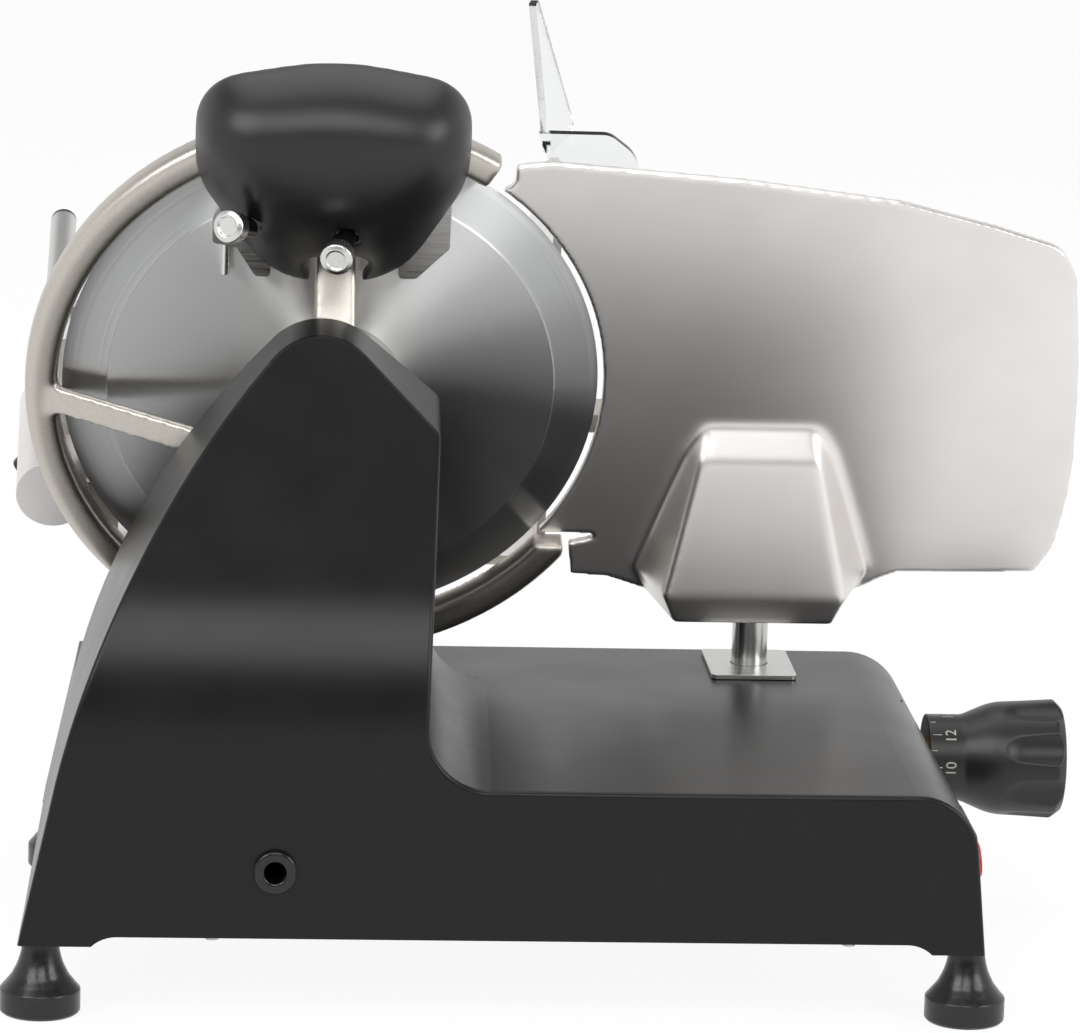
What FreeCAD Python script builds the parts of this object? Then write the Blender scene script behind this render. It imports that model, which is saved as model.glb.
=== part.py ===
import FreeCAD, Part
import Sketcher
import math
import os
import re

from FreeCAD import Placement, Rotation, Vector

# Electric gravity feed slicer. The slices fall on the -Y side, the food table is on the +Y side.
# +X points to the operator's end with the thickness knob, +Z is up, and the table top is z = 0.
# The blade, its guard, the gauge plate and the carriage are drawn flat in a leaning frame:
# x along the stroke, v up in the plane of the blade, n out of it towards the slice side.

doc = FreeCAD.newDocument("GravitySlicer")
sheet = doc.addObject("Spreadsheet::Sheet", "Dims")

dims = {
    # Place and lean of the blade
    "bladeX": -76.0,
    "bladeY": 85.0,
    "bladeLean": 18.5,
    "rimToDeck": 14.0,
    # Base and tower casting, outline at its front face
    "footHeight": 34.5,
    "padRise": 4.5,
    "deckHeight": 67.5,
    "baseFront": 141.0,
    "baseBack": 141.0,
    "wall": 5.0,
    "edgeRound": 2.0,
    "baseLeft": 215.3,
    "baseRight": 210.3,
    "deckRight": 203.0,
    "deckRound": 28.0,
    "kneeX": 179.8,
    "kneeRise": 94.6,
    "kneeRound": 370.0,
    "apexX": 90.9,
    "apexRise": 193.3,
    "apexRound": 30.0,
    "shoulderX": 35.3,
    "shoulderRise": 143.6,
    "shoulderRound": 6.0,
    "towerFootX": 38.5,
    "towerFootRound": 28.0,
    "leftDraft": 0.03,
    "rightDraft": 0.045,
    "slopeBendRise": 60.8,
    "slopeTopY": 34.0,
    "slopeTopRise": 179.6,
    "slopeRound": 110.0,
    "towerBack": 56.0,
    "padLength": 18.8,
    "padBlend": 16.0,
    "padDepth": 28.0,
    # Feet, bottom cover and the mains gland
    "footRadius": 17.8,
    "footNeck": 7.5,
    "footFlare": 11.0,
    "footFlareRound": 14.5,
    "footLeftInset": 10.1,
    "footRightInset": 5.8,
    "footFrontInset": 18.0,
    "footBoss": 9.0,
    "studRadius": 4.0,
    "studGrip": 20.0,
    "coverPlate": 1.0,
    "coverInset": 4.5,
    "coverScrewRadius": 1.5,
    "glandX": -103.5,
    "glandDrop": 37.0,
    "glandRadius": 9.6,
    "glandBore": 4.7,
    "glandProud": 3.4,
    # Blade
    "bladeRadius": 125.0,
    "bladeStep": 104.0,
    "bladeThick": 4.0,
    "bladeHollow": 2.5,
    "bladeBore": 20.0,
    "bladeScrewCircle": 27.0,
    "bladeScrewRadius": 2.5,
    # Guard ring round the blade
    "ringGap": 2.2,
    "ringWidth": 15.0,
    "ringBack": 0.8,
    "ringFront": 13.5,
    "ringStart": 58.0,
    "ringSweep": 271.0,
    "ringEndX": 112.5,
    "ringEndV": -80.5,
    "hubInner": 30.0,
    "hubOuter": 36.0,
    "hubFront": 13.0,
    "spokeWidth": 13.0,
    "spokeDepth": 6.0,
    "topSpokeWidth": 18.5,
    "spokeRootDepth": 44.0,
    # Spindle
    "axleRadius": 8.5,
    "runFit": 0.05,
    "bearingRadius": 17.5,
    "bearingWidth": 10.0,
    "rotorBody": 24.0,
    "flangeRadius": 34.0,
    "flangeBack": 11.5,
    "pulleyRadius": 32.0,
    "pulleyFront": 64.0,
    "pulleyWidth": 14.0,
    "webStart": 86.0,
    "webHalf": 24.0,
    "rotorHole": 27.0,
    "ringScrewHead": 2.2,
    "webThick": 10.0,
    "coverRadius": 96.0,
    "coverThick": 2.0,
    "coverGap": 1.1,
    # Motor
    "motorX": -45.0,
    "motorV": -90.0,
    "motorRadius": 44.0,
    "motorWall": 4.0,
    "motorFront": 84.0,
    "motorLength": 96.0,
    "motorShaft": 7.0,
    "rotorCore": 26.0,
    "motorBossCircle": 37.0,
    "motorBossRadius": 6.0,
    "motorScrewRadius": 2.0,
    "drivePulley": 14.0,
    "beltThick": 3.0,
    "beltFit": 0.4,
    "capacitorRadius": 17.0,
    "capacitorLength": 62.0,
    # Gauge plate, its post and its slide
    "gaugeFit": 2.7,
    "gaugeThick": 5.0,
    "gaugeProud": 2.2,
    "gaugeRight": 353.5,
    "bossDepth": 31.0,
    "bossFoot": 112.0,
    "bossAxis": 18.3,
    "postX": 127.2,
    "postRadius": 8.5,
    "postGrip": 11.0,
    "gaugeTravel": 16.0,
    "slideDrop": 31.0,
    "slideHalfX": 28.0,
    "slideHalfV": 12.0,
    "slideHalfN": 15.0,
    "guideRodRadius": 5.0,
    "guideRodSpread": 16.0,
    "lugThick": 8.0,
    "slotCoverX": 40.5,
    "slotCoverY": 54.5,
    "slotCoverThick": 2.0,
    "slideFit": 0.4,
    # Thickness knob and scroll
    "knobY": 75.0,
    "knobDrop": 36.0,
    "knobNeck": 20.5,
    "knobRim": 28.5,
    "knobLength": 64.5,
    "knobSkirt": 17.0,
    "knobStart": 209.6,
    "knobShaft": 6.0,
    "knobBush": 10.0,
    "scrollRadius": 28.0,
    "scrollThick": 8.0,
    "scrollStart": 23.5,
    "followerRadius": 2.5,
    "grooveDepth": 5.0,
    "knobTurn": 345.0,
    # Switch on the end wall
    "switchY": -92.0,
    "switchDrop": 38.0,
    "bezelLength": 58.0,
    "bezelHeight": 30.0,
    "bezelThick": 2.0,
    "indexPin": 1.6,
    "buttonRadius": 8.0,
    "buttonSpread": 13.0,
    # Sharpener
    "domeLeft": 66.0,
    "domeRight": 59.5,
    "domeTop": 176.0,
    "domeBottom": 58.0,
    "domeBack": 14.5,
    "domeDepth": 42.5,
    "domeWall": 3.0,
    "plungerRadius": 3.5,
    "capRadius": 7.5,
    "capLength": 9.0,
    "stoneRadius": 13.0,
    "stoneThick": 5.0,
    "stoneClear": 0.5,
    "sharpenTravel": 4.0,
    "lockPin": 2.35,
    # Carriage
    "stroke": 250.0,
    "rodRadius": 8.0,
    "rodY": 169.0,
    "rodDrop": 46.0,
    "rodLeft": -184.0,
    "rodRight": 199.0,
    "railHeight": 10.0,
    "railDepth": 8.0,
    "railDrop": 16.0,
    "shoeLength": 78.0,
    "shoeStart": -170.0,
    "shoeHalf": 13.0,
    "bracketThick": 10.0,
    "armWidth": 56.0,
    "armThick": 14.0,
    "tableLeft": -98.0,
    "tableRight": 105.0,
    "tableV": -96.0,
    "tableThick": 5.0,
    "tableNear": -4.0,
    "tableFar": -185.0,
    "fenceThick": 4.0,
    "fenceTop": 95.0,
    "guardThick": 3.5,
    "gripRadius": 14.0,
    "gripBar": 5.0,
    "gripLength": 104.0,
    # Food pusher
    "pusherX": -129.0,
    "pusherV": -66.0,
    "pusherRod": 7.0,
    "bossRadius": 17.2,
    "bossLength": 47.0,
    "farEyeRadius": 10.5,
    "farEyeLength": 8.0,
    "sleeveLength": 40.0,
    "sleeveEdge": 5.0,
    "collarLength": 6.0,
    "socketRadius": 9.0,
    "socketTop": -12.0,
    "barRadius": 6.3,
    "barLength": 129.0,
    "barV": -21.0,
    "barLean": 0.9,
    "lockKnobRadius": 6.0,
    "lockKnobLength": 8.0,
    "lockKnobTurn": 232.0,
    "plateWidth": 98.0,
    "plateHeight": 78.0,
    "plateThick": 4.0,
    "toothSize": 4.0,
}

for row, (alias, number) in enumerate(dims.items(), start=1):
    sheet.set(f"A{row}", alias)
    sheet.set(f"B{row}", str(number))
    sheet.setAlias(f"B{row}", alias)
doc.recompute()

nodes = {}


def linked(text):
    """An expression in plain alias names, with the sheet's name put before each."""
    return re.sub(r"[A-Za-z]\w*", lambda m: "Dims." + m[0] if m[0] in dims else m[0], str(text))


def size(text):
    return float(sheet.evalExpression(linked(text)))


def bind(thing, **fields):
    for field, text in fields.items():
        setattr(thing, field, size(text))
        thing.setExpression(field, linked(text))


def put(thing, at, along="z"):
    """Base point from three expressions, and the own axis laid along x, y or z."""
    turn = {"x": Rotation(Vector(0, 1, 0), 90), "y": Rotation(Vector(1, 0, 0), -90), "z": Rotation()}
    thing.Placement = Placement(Vector(*[size(a) for a in at]), turn[along])
    for axis, text in zip("xyz", at):
        thing.setExpression(f"Placement.Base.{axis}", linked(text))
    return thing


def cylinder(name, radius, height, at=(0, 0, 0), along="z"):
    thing = doc.addObject("Part::Cylinder", name)
    bind(thing, Radius=radius, Height=height)
    return put(thing, at, along)


def cone(name, radius1, radius2, height, at=(0, 0, 0), along="z"):
    thing = doc.addObject("Part::Cone", name)
    bind(thing, Radius1=radius1, Radius2=radius2, Height=height)
    return put(thing, at, along)


def block(name, length, width, height, at=(0, 0, 0)):
    thing = doc.addObject("Part::Box", name)
    bind(thing, Length=length, Width=width, Height=height)
    return put(thing, at)


def fused(name, *things):
    joined = doc.addObject("Part::MultiFuse", name)
    joined.Shapes = list(things)
    return joined


def cut(name, base, *tools):
    result = doc.addObject("Part::Cut", name)
    result.Base = base
    result.Tool = tools[0] if len(tools) == 1 else fused(name + "Tools", *tools)
    return result


def common(name, *things):
    result = doc.addObject("Part::MultiCommon", name)
    result.Shapes = list(things)
    return result


def tube(name, outer, inner, height, at=(0, 0, 0), along="z"):
    """Ring with its bore, the bore cut through both ends."""
    x, y, z = at
    start = {"x": (f"{x} - 1", y, z), "y": (x, f"{y} - 1", z), "z": (x, y, f"{z} - 1")}[along]
    rod = cylinder(name + "Rod", outer, height, at, along)
    bore = cylinder(name + "Bore", inner, f"{height} + 2", start, along)
    return cut(name, rod, bore)


def shaped(name, shape):
    thing = doc.addObject("Part::Feature", name)
    thing.Shape = shape
    return thing


def outline(sketch, corners):
    """Closed outline of straight edges: each corner is (x, y) or (x, y, round radius)."""
    points = [Vector(size(c[0]), size(c[1]), 0) for c in corners]
    radii = [size(c[2]) if len(c) > 2 else 0 for c in corners]
    count = len(corners)
    starts, ends, arcs = [], [], []
    for i, point in enumerate(points):
        back = (points[i - 1] - point).normalize()
        ahead = (points[(i + 1) % count] - point).normalize()
        if not radii[i]:
            ends.append(point)
            starts.append(point)
            arcs.append(None)
            continue
        half = back.getAngle(ahead) / 2
        reach = radii[i] / math.tan(half)
        ends.append(point + back * reach)
        starts.append(point + ahead * reach)
        centre = point + (back + ahead).normalize() * (radii[i] / math.sin(half))
        arcs.append((centre, radii[i]))
    lines = []
    for i in range(count):
        lines.append(sketch.addGeometry(Part.LineSegment(starts[i], ends[(i + 1) % count])))
    for i, corner in enumerate(corners):
        before, after = lines[i - 1], lines[i]
        if arcs[i] is None:
            sketch.addConstraint(Sketcher.Constraint("Coincident", before, 2, after, 1))
            spot = (after, 1)
        else:
            centre, radius = arcs[i]
            angle1 = math.atan2(ends[i].y - centre.y, ends[i].x - centre.x)
            angle2 = math.atan2(starts[i].y - centre.y, starts[i].x - centre.x)
            left = (angle2 - angle1) % (2 * math.pi) < math.pi
            if not left:
                angle1, angle2 = angle2, angle1
            circle = Part.Circle(centre, Vector(0, 0, 1), radius)
            arc = sketch.addGeometry(Part.ArcOfCircle(circle, angle1, angle2))
            first, last = (1, 2) if left else (2, 1)
            sketch.addConstraint(Sketcher.Constraint("Tangent", before, 2, arc, first))
            sketch.addConstraint(Sketcher.Constraint("Tangent", arc, last, after, 1))
            index = sketch.addConstraint(Sketcher.Constraint("Radius", arc, radius))
            sketch.setExpression(f"Constraints[{index}]", linked(corner[2]))
            mark = sketch.addGeometry(Part.Point(points[i]), True)
            sketch.addConstraint(Sketcher.Constraint("PointOnObject", mark, 1, before))
            sketch.addConstraint(Sketcher.Constraint("PointOnObject", mark, 1, after))
            spot = (mark, 1)
        for kind, text in (("DistanceX", corner[0]), ("DistanceY", corner[1])):
            index = sketch.addConstraint(Sketcher.Constraint(kind, -1, 1, *spot, size(text)))
            sketch.setExpression(f"Constraints[{index}]", linked(text))


def sketched(body, name, role, corners, offset="0"):
    """Outline on one of the body's own planes, moved along the plane's normal."""
    sketch = body.newObject("Sketcher::SketchObject", name)
    plane = [p for p in body.Origin.OriginFeatures if p.Role == role][0]
    sketch.AttachmentSupport = [(plane, "")]
    sketch.MapMode = "FlatFace"
    sketch.AttachmentOffset = Placement(Vector(0, 0, size(offset)), Rotation())
    sketch.setExpression("AttachmentOffset.Base.z", linked(offset))
    outline(sketch, corners)
    return sketch


def extruded(name, corners, start, depth, role="XY_Plane"):
    """Plate: an outline padded along its plane's normal from start."""
    body = doc.addObject("PartDesign::Body", name)
    sketch = sketched(body, name + "Outline", role, corners, start)
    pad = body.newObject("PartDesign::Pad", name + "Pad")
    pad.Profile = sketch
    bind(pad, Length=depth)
    return body


def turned(name, corners, angle=360):
    """Turned piece: an outline of (radius, height) corners round z."""
    body = doc.addObject("PartDesign::Body", name)
    sketch = sketched(body, name + "Outline", "XZ_Plane", corners)
    revolved = body.newObject("PartDesign::Revolution", name + "Turn")
    revolved.Profile = sketch
    revolved.ReferenceAxis = (sketch, ["V_Axis"])
    bind(revolved, Angle=angle)
    return body


def lofted(name, role, sections):
    """Ruled loft through outlines given as (offset, corners)."""
    body = doc.addObject("PartDesign::Body", name)
    sketches = [sketched(body, f"{name}Section{i}", role, c, o) for i, (o, c) in enumerate(sections)]
    loft = body.newObject("PartDesign::AdditiveLoft", name + "Loft")
    loft.Profile = sketches[0]
    loft.Sections = sketches[1:]
    loft.Ruled = True
    return body


def laid(thing, place):
    """A piece moved into one of the machine's frames."""
    if thing.ExpressionEngine:
        holder = doc.addObject("Part::Compound", thing.Name + "Held")
        holder.Links = [thing]
        thing = holder
    thing.Placement = place.multiply(thing.Placement)
    return thing


def finish(label, thing, place=Placement()):
    """Names a finished piece and lays it in the machine."""
    thing = laid(thing, place)
    thing.Label = label
    nodes[label] = thing
    return thing


# Heights and frames that several pieces share
deckZ = "(footHeight + padRise + deckHeight)"
undersideZ = "(footHeight + padRise)"
bladeZ = f"({deckZ} + bladeRadius + rimToDeck)"
lean = size("bladeLean")
leaning = Rotation(Vector(1, 0, 0), 90 + lean)
bladeFrame = Placement(Vector(size("bladeX"), size("bladeY"), size(bladeZ)), leaning)
postY = "(bladeY + bossFoot * sin(bladeLean) - bossAxis * cos(bladeLean))"
slideFrame = Placement(Vector(size("postX"), size(postY), size(f"{deckZ} - slideDrop")), leaning)


# Casting of base and tower, one outline drawn through from front to back


def castingForm(name, inset):
    """Outer form of the casting, or its hollow when it is inset by the wall."""
    shifts = {"left": "leftDraft", "tower": "rightDraft", "right": "0",
              "top": "(leftDraft + rightDraft) / 2"}

    def section(y):
        def x(text, side):
            return f"{text} + {shifts[side]} * (baseFront + {y})"

        return [
            (x(f"-baseLeft + {inset}", "left"), f"footHeight - {inset}"),
            (x(f"-kneeX + 0.92 * {inset}", "left"), f"{deckZ} + kneeRise - 0.47 * {inset}",
             f"kneeRound - {inset}"),
            (x(f"-apexX + 0.08 * {inset}", "top"), f"{deckZ} + apexRise - 1.41 * {inset}",
             f"apexRound - {inset}"),
            (x(f"-shoulderX - {inset}", "tower"), f"{deckZ} + shoulderRise - 0.44 * {inset}",
             "shoulderRound"),
            (x(f"-towerFootX - {inset}", "tower"), f"{deckZ} - {inset}", f"towerFootRound + {inset}"),
            (x(f"deckRight - 0.9 * {inset}", "right"), f"{deckZ} - {inset}", f"deckRound - {inset}"),
            (x(f"baseRight - {inset}", "right"), f"footHeight - {inset}"),
        ]

    ends = (f"-baseFront + {inset}", f"baseBack - {inset}")
    body = lofted(name, "XZ_Plane", [(f"-({y})", section(y)) for y in ends])
    front, level = f"-baseFront + {inset}", f"{deckZ} - 0.38 * {inset}"
    run = "1.45 * (baseFront - slopeTopY)"
    climb = "1.45 * (slopeTopRise - slopeBendRise)"
    above = f"{deckZ} + slopeBendRise + {climb}"
    slope = [
        (front, f"{level} + 2"),
        (front, f"{level} + slopeBendRise", f"slopeRound - {inset}"),
        (f"{front} + {run}", f"{level} + slopeBendRise + {climb}"),
        ("-baseFront - 30", f"{above} + 20"),
        ("-baseFront - 30", f"{level} + 2"),
    ]
    floor = f"({deckZ} - {inset})"
    back = f"bladeY - (towerBack + {inset}) / cos(bladeLean) - tan(bladeLean)"
    behind = [
        (f"{back} * ({floor} - {bladeZ})", floor),
        (f"{back} * ({above} - {bladeZ})", above),
        ("baseBack + 30", above),
        ("baseBack + 30", floor),
    ]
    for part, corners in (("Slope", slope), ("Back", behind)):
        doc.recompute()
        before = body.Shape.Volume
        pocket = body.newObject("PartDesign::Pocket", name + part)
        pocket.Profile = sketched(body, name + part + "Outline", "YZ_Plane", corners)
        pocket.Midplane = True
        bind(pocket, Length="3 * baseLeft")
        doc.recompute()
        assert body.Shape.Volume < before * 0.97, f"{name}{part} cut nothing"
    return body


def edgesOf(body, test):
    """Names of the edges where one face passes the test of its outward normal and the other doesn't."""
    names = []
    for number, edge in enumerate(body.Shape.Edges, start=1):
        middle = edge.valueAt((edge.FirstParameter + edge.LastParameter) / 2)
        looks = []
        for face in body.Shape.ancestorsOfType(edge, Part.Face):
            looks.append(bool(test(face.normalAt(*face.Surface.parameter(middle)))))
        if looks.count(True) == 1 and middle.z > body.Shape.BoundBox.ZMin + 12:
            names.append(f"Edge{number}")
    return names


def rounded(body, name, test, radius):
    doc.recompute()
    base = body.Tip
    fillet = body.newObject("PartDesign::Fillet", name)
    fillet.Base = (base, edgesOf(body, test))
    bind(fillet, Radius=radius)
    doc.recompute()


outer = castingForm("CastingOuter", "0")
hollow = castingForm("CastingHollow", "wall")
solid = castingForm("CastingSolid", "0.5 * wall")
rounded(outer, "FrontRound", lambda normal: normal.y < -0.5, "edgeRound")
rounded(outer, "BackRound", lambda normal: normal.y > 0.97, "edgeRound")
shell = cut("CastingShell", outer, hollow)

backShift = "leftDraft * (baseFront + baseBack)"
footSpots = {
    "front_left": ("-baseLeft + footLeftInset", "-baseFront + footFrontInset"),
    "front_right": ("baseRight - footRightInset", "-baseFront + footFrontInset"),
    "back_left": (f"-baseLeft + footLeftInset + {backShift}", "baseBack - footFrontInset"),
    "back_right": ("baseRight - footRightInset", "baseBack - footFrontInset"),
}
padCorners = {
    "front_left": ("-baseLeft - 1", "-baseFront - 1"),
    "front_right": ("baseRight - padLength", "-baseFront - 1"),
    "back_left": (f"-baseLeft + {backShift} - 1", "baseBack - padDepth"),
    "back_right": ("baseRight - padLength", "baseBack - padDepth"),
}
reliefX = ("-baseLeft + padLength", f"-baseLeft + {backShift} + padLength", "baseRight - padLength")
reliefY = ("-baseFront + padDepth", "baseBack - padDepth")
reliefLow = "footHeight - padBlend"


def reliefTunnel(name, low, high, start, depth, role):
    """Tunnel under the casting from low to high, its upper corners blended into the pads."""
    return extruded(name, [
        (low, reliefLow),
        (high, reliefLow),
        (high, undersideZ, "padBlend"),
        (low, undersideZ, "padBlend"),
    ], start, depth, role)


reliefAlong = reliefTunnel("ReliefAlong", reliefX[1], reliefX[2], "-baseBack - 5",
                           "baseFront + baseBack + 10", "XZ_Plane")
reliefAcross = reliefTunnel("ReliefAcross", *reliefY, "-baseLeft - 5", "baseLeft + baseRight + 10",
                            "YZ_Plane")
relief = fused("Relief", reliefAlong, reliefAcross)
shell = cut("ReliefShell", shell, relief)

# Pads, foot bosses, bearing web, motor bosses and gauge lugs, trimmed to the casting's own form
extras = []
for spot, (x, y) in padCorners.items():
    extras.append(block(f"Pad_{spot}", "padLength + 1", "padDepth + 1", "padRise + 2",
                        (x, y, "footHeight")))
for spot, (x, y) in footSpots.items():
    extras.append(cylinder(f"Boss_{spot}", "footBoss", "studGrip + 6", (x, y, "footHeight")))
web = block("Web", "160", "2 * webHalf", "webThick", ("-90", "-webHalf", "webStart"))
extras.append(laid(web, bladeFrame))
beltTurn = math.degrees(math.atan2(-size("motorV"), -size("motorX")))
bossTurns = [beltTurn + 90, beltTurn + 180, beltTurn + 270]
wallInside = "(towerBack + wall)"


def aroundMotor(circle, turn):
    return (f"motorX + {circle} * cos({turn:.3f})", f"motorV + {circle} * sin({turn:.3f})")


for number, turn in enumerate(bossTurns):
    spot = (*aroundMotor("motorBossCircle", turn), "towerBack + 1")
    boss = cylinder(f"MotorBoss{number}", "motorBossRadius", "motorFront - towerBack - 1", spot)
    extras.append(laid(boss, bladeFrame))
lugNear = "-(slideHalfN + 4 + lugThick)"
lugFar = "(slideHalfN + gaugeTravel + 7)"
coverScrewRows = ("-baseFront + wall + 4", "baseBack - wall - 4")
coverScrewSpots = [(x, y) for x in ("-baseLeft + 85", "baseRight - 60") for y in coverScrewRows]
for number, (x, y) in enumerate(coverScrewSpots):
    extras.append(cylinder(f"CoverBoss{number}", "4 * coverScrewRadius", "15", (x, y, undersideZ)))
for name, start in (("LugNear", lugNear), ("LugFar", lugFar)):
    lug = block(name, "2 * slideHalfX + 4", "61", "lugThick", ("-slideHalfX - 2", "-14", start))
    extras.append(laid(lug, slideFrame))
inside = common("CastingExtras", fused("ExtraBlocks", *extras), solid)
pads = common("CastingPads", fused("PadBlocks", *extras[:8]), outer)
body = fused("CastingWhole", shell, inside, pads)

# Openings in the casting, each the size of what goes through it
holes = []
knobAxis = ("knobY", f"{deckZ} - knobDrop")
glandAt = ("glandX", "-baseFront", f"{deckZ} - glandDrop")
switchAt = ("switchY", f"{deckZ} - switchDrop")
holes.append(laid(cylinder("RotorHole", "rotorHole", "wall + 10", ("0", "0", "towerBack - 5")), bladeFrame))
holes.append(laid(cylinder("AxleHole", "axleRadius", "webThick + 10", ("0", "0", "webStart - 5")),
                  bladeFrame))
ringTurns = (30, 150, 270)
hubMiddle = "(hubInner + hubOuter) / 2"


def onCircle(circle, turn):
    return (f"{circle} * cos({turn})", f"{circle} * sin({turn})")


for turn in ringTurns:
    spot = (*onCircle(hubMiddle, turn), "towerBack - 5")
    holes.append(laid(cylinder(f"RingScrewHole{turn}", "bladeScrewRadius", "wall + 10", spot), bladeFrame))
for number, turn in enumerate(bossTurns):
    spot = (*aroundMotor("motorBossCircle", turn), "towerBack - 5")
    drill = cylinder(f"MotorScrewHole{number}", "motorScrewRadius", "motorFront - towerBack + 10", spot)
    holes.append(laid(drill, bladeFrame))
for number, side in enumerate((-1, 1)):
    spot = (f"{side} * guideRodSpread", "0", f"{lugNear} - 5")
    drill = cylinder(f"GuideRodHole{number}", "guideRodRadius", f"{lugFar} - {lugNear} + lugThick + 10",
                     spot)
    holes.append(laid(drill, slideFrame))
slot = block("PostSlot", "2 * postRadius + 4", "gaugeTravel + 2 * postRadius + 4", "wall + 10",
             ("postX - postRadius - 2", f"{postY} - gaugeTravel - postRadius - 2", f"{deckZ} - wall - 5"))
holes.append(slot)
holes.append(cylinder("BushHole", "knobBush", "wall + 20", ("baseRight - wall - 15", *knobAxis), "x"))
holes.append(cylinder("GlandHole", "glandBore + 2", "wall + 10", ("glandX", "-baseFront - 5", glandAt[2]),
                      "y"))
holes.append(block("SwitchHole", "30", "bezelLength - 8", "bezelHeight - 8",
                   ("baseRight - wall - 15", f"{switchAt[0]} - bezelLength / 2 + 4",
                    f"{switchAt[1]} - bezelHeight / 2 + 4")))
for spot, (x, y) in footSpots.items():
    holes.append(cylinder(f"StudHole_{spot}", "studRadius", "studGrip + 1", (x, y, "footHeight - 1")))
for number, (x, y) in enumerate(coverScrewSpots):
    holes.append(cylinder(f"CoverScrewHole{number}", "coverScrewRadius", "11", (x, y, f"{undersideZ} - 1")))
indexAt = ("deckRight - 14", "knobY - 6", f"{deckZ} - 8.5")
index = cylinder("IndexPin", "indexPin", "8", indexAt, "x")
finish("base_casting", fused("CastingDone", cut("Casting", body, *holes), index))

# Closing plate, feet and the mains gland
plateLeft = "-baseLeft + coverInset + leftDraft * (baseFront + {})"
plateFront, plateBack = "-baseFront + coverInset", "baseBack - coverInset"
notch = [f"{reliefX[0]} + padBlend", f"{reliefX[1]} + padBlend", f"{reliefX[2]} - padBlend"]
step = [f"{reliefY[0]} + padBlend", f"{reliefY[1]} - padBlend"]
plate = extruded("CoverPlate", [
    (notch[0], plateFront),
    (notch[2], plateFront),
    (notch[2], step[0]),
    ("baseRight - coverInset", step[0]),
    ("baseRight - coverInset", step[1]),
    (notch[2], step[1]),
    (notch[2], plateBack),
    (notch[1], plateBack),
    (notch[1], step[1]),
    (plateLeft.format(step[1]), step[1]),
    (plateLeft.format(step[0]), step[0]),
    (notch[0], step[0]),
], f"{undersideZ} - coverPlate", "coverPlate")
plateHoles = [cylinder(f"PlateHole{i}", "coverScrewRadius", "coverPlate + 2",
                       (x, y, f"{undersideZ} - coverPlate - 1"))
              for i, (x, y) in enumerate(coverScrewSpots)]
finish("bottom_cover", cut("BottomCover", plate, *plateHoles))
screws = []
for number, (x, y) in enumerate(coverScrewSpots):
    shank = cylinder(f"CoverShank{number}", "coverScrewRadius", "coverPlate + 10",
                     (x, y, f"{undersideZ} - coverPlate"))
    head = cylinder(f"CoverHead{number}", "2 * coverScrewRadius", "1.6",
                    (x, y, f"{undersideZ} - coverPlate - 1.6"))
    screws.append(fused(f"CoverScrew{number}", shank, head))

feet, studs = [], []
for spot, (x, y) in footSpots.items():
    foot = turned(f"Foot_{spot}", [
        ("0", "0"),
        ("footRadius - 1.3", "0", "0.8"),
        ("footRadius", "3", "0.8"),
        ("footRadius", "footFlare", "1"),
        ("footNeck", "footFlare + 4", "footFlareRound"),
        ("footNeck", "footHeight"),
        ("studRadius", "footHeight"),
        ("studRadius", "footFlare + 1"),
        ("0", "footFlare + 1"),
    ])
    feet.append(laid(foot, Placement(Vector(size(x), size(y), 0), Rotation())))
    length = "footHeight - footFlare - 1 + studGrip"
    studs.append(cylinder(f"Stud_{spot}", "studRadius", length, (x, y, "footFlare + 1")))
finish("feet", fused("Feet", *feet))
finish("base_screws", fused("BaseScrews", *studs, *screws))

flange = cylinder("GlandFlange", "glandRadius", "glandProud",
                  ("glandX", "-baseFront - glandProud", glandAt[2]), "y")
flats = block("GlandFlats", "1.86 * glandRadius", "glandProud + 2", "1.86 * glandRadius",
              ("glandX - 0.93 * glandRadius", "-baseFront - glandProud - 1",
               f"{glandAt[2]} - 0.93 * glandRadius"))
barrel = cylinder("GlandBarrel", "glandBore + 2", "wall + 14", glandAt, "y")
nut = cylinder("GlandNut", "glandRadius", "5", ("glandX", "-baseFront + wall", glandAt[2]), "y")
bore = cylinder("GlandBoreCut", "glandBore", "wall + 30",
                ("glandX", "-baseFront - glandProud - 5", glandAt[2]), "y")
lip = cone("GlandMouth", "glandBore + 1.4", "glandBore", "1.4",
           ("glandX", "-baseFront - glandProud", glandAt[2]), "y")
whole = fused("GlandWhole", common("GlandFace", flange, flats), barrel, nut)
finish("cable_gland", cut("CableGland", whole, bore, lip))

# Blade, its hub and bearings, all turning about the spindle
bladeFace = "(bladeHollow + bladeThick)"
blade = turned("BladeDisc", [
    ("bladeBore + runFit", "bladeHollow"),
    ("bladeStep - 8", "bladeHollow"),
    ("bladeRadius - 17", "1.6"),
    ("bladeRadius", "0"),
    ("bladeRadius", "0.4"),
    ("bladeRadius - 4", "1.6"),
    ("bladeStep + 0.6", f"{bladeFace} - 1.3"),
    ("bladeStep", bladeFace),
    ("bladeBore + runFit", bladeFace),
])
screwTurns = (0, 120, 240)
bladeHoles = [cylinder(f"BladeHole{t}", "bladeScrewRadius", "20", (*onCircle("bladeScrewCircle", t), "-5"))
              for t in screwTurns]
finish("blade", cut("Blade", blade, *bladeHoles), bladeFrame)
seatFar = "(flangeBack + bearingWidth)"
seatNear = "(towerBack - 6)"
pulleyBack = "(pulleyFront + pulleyWidth)"
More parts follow.
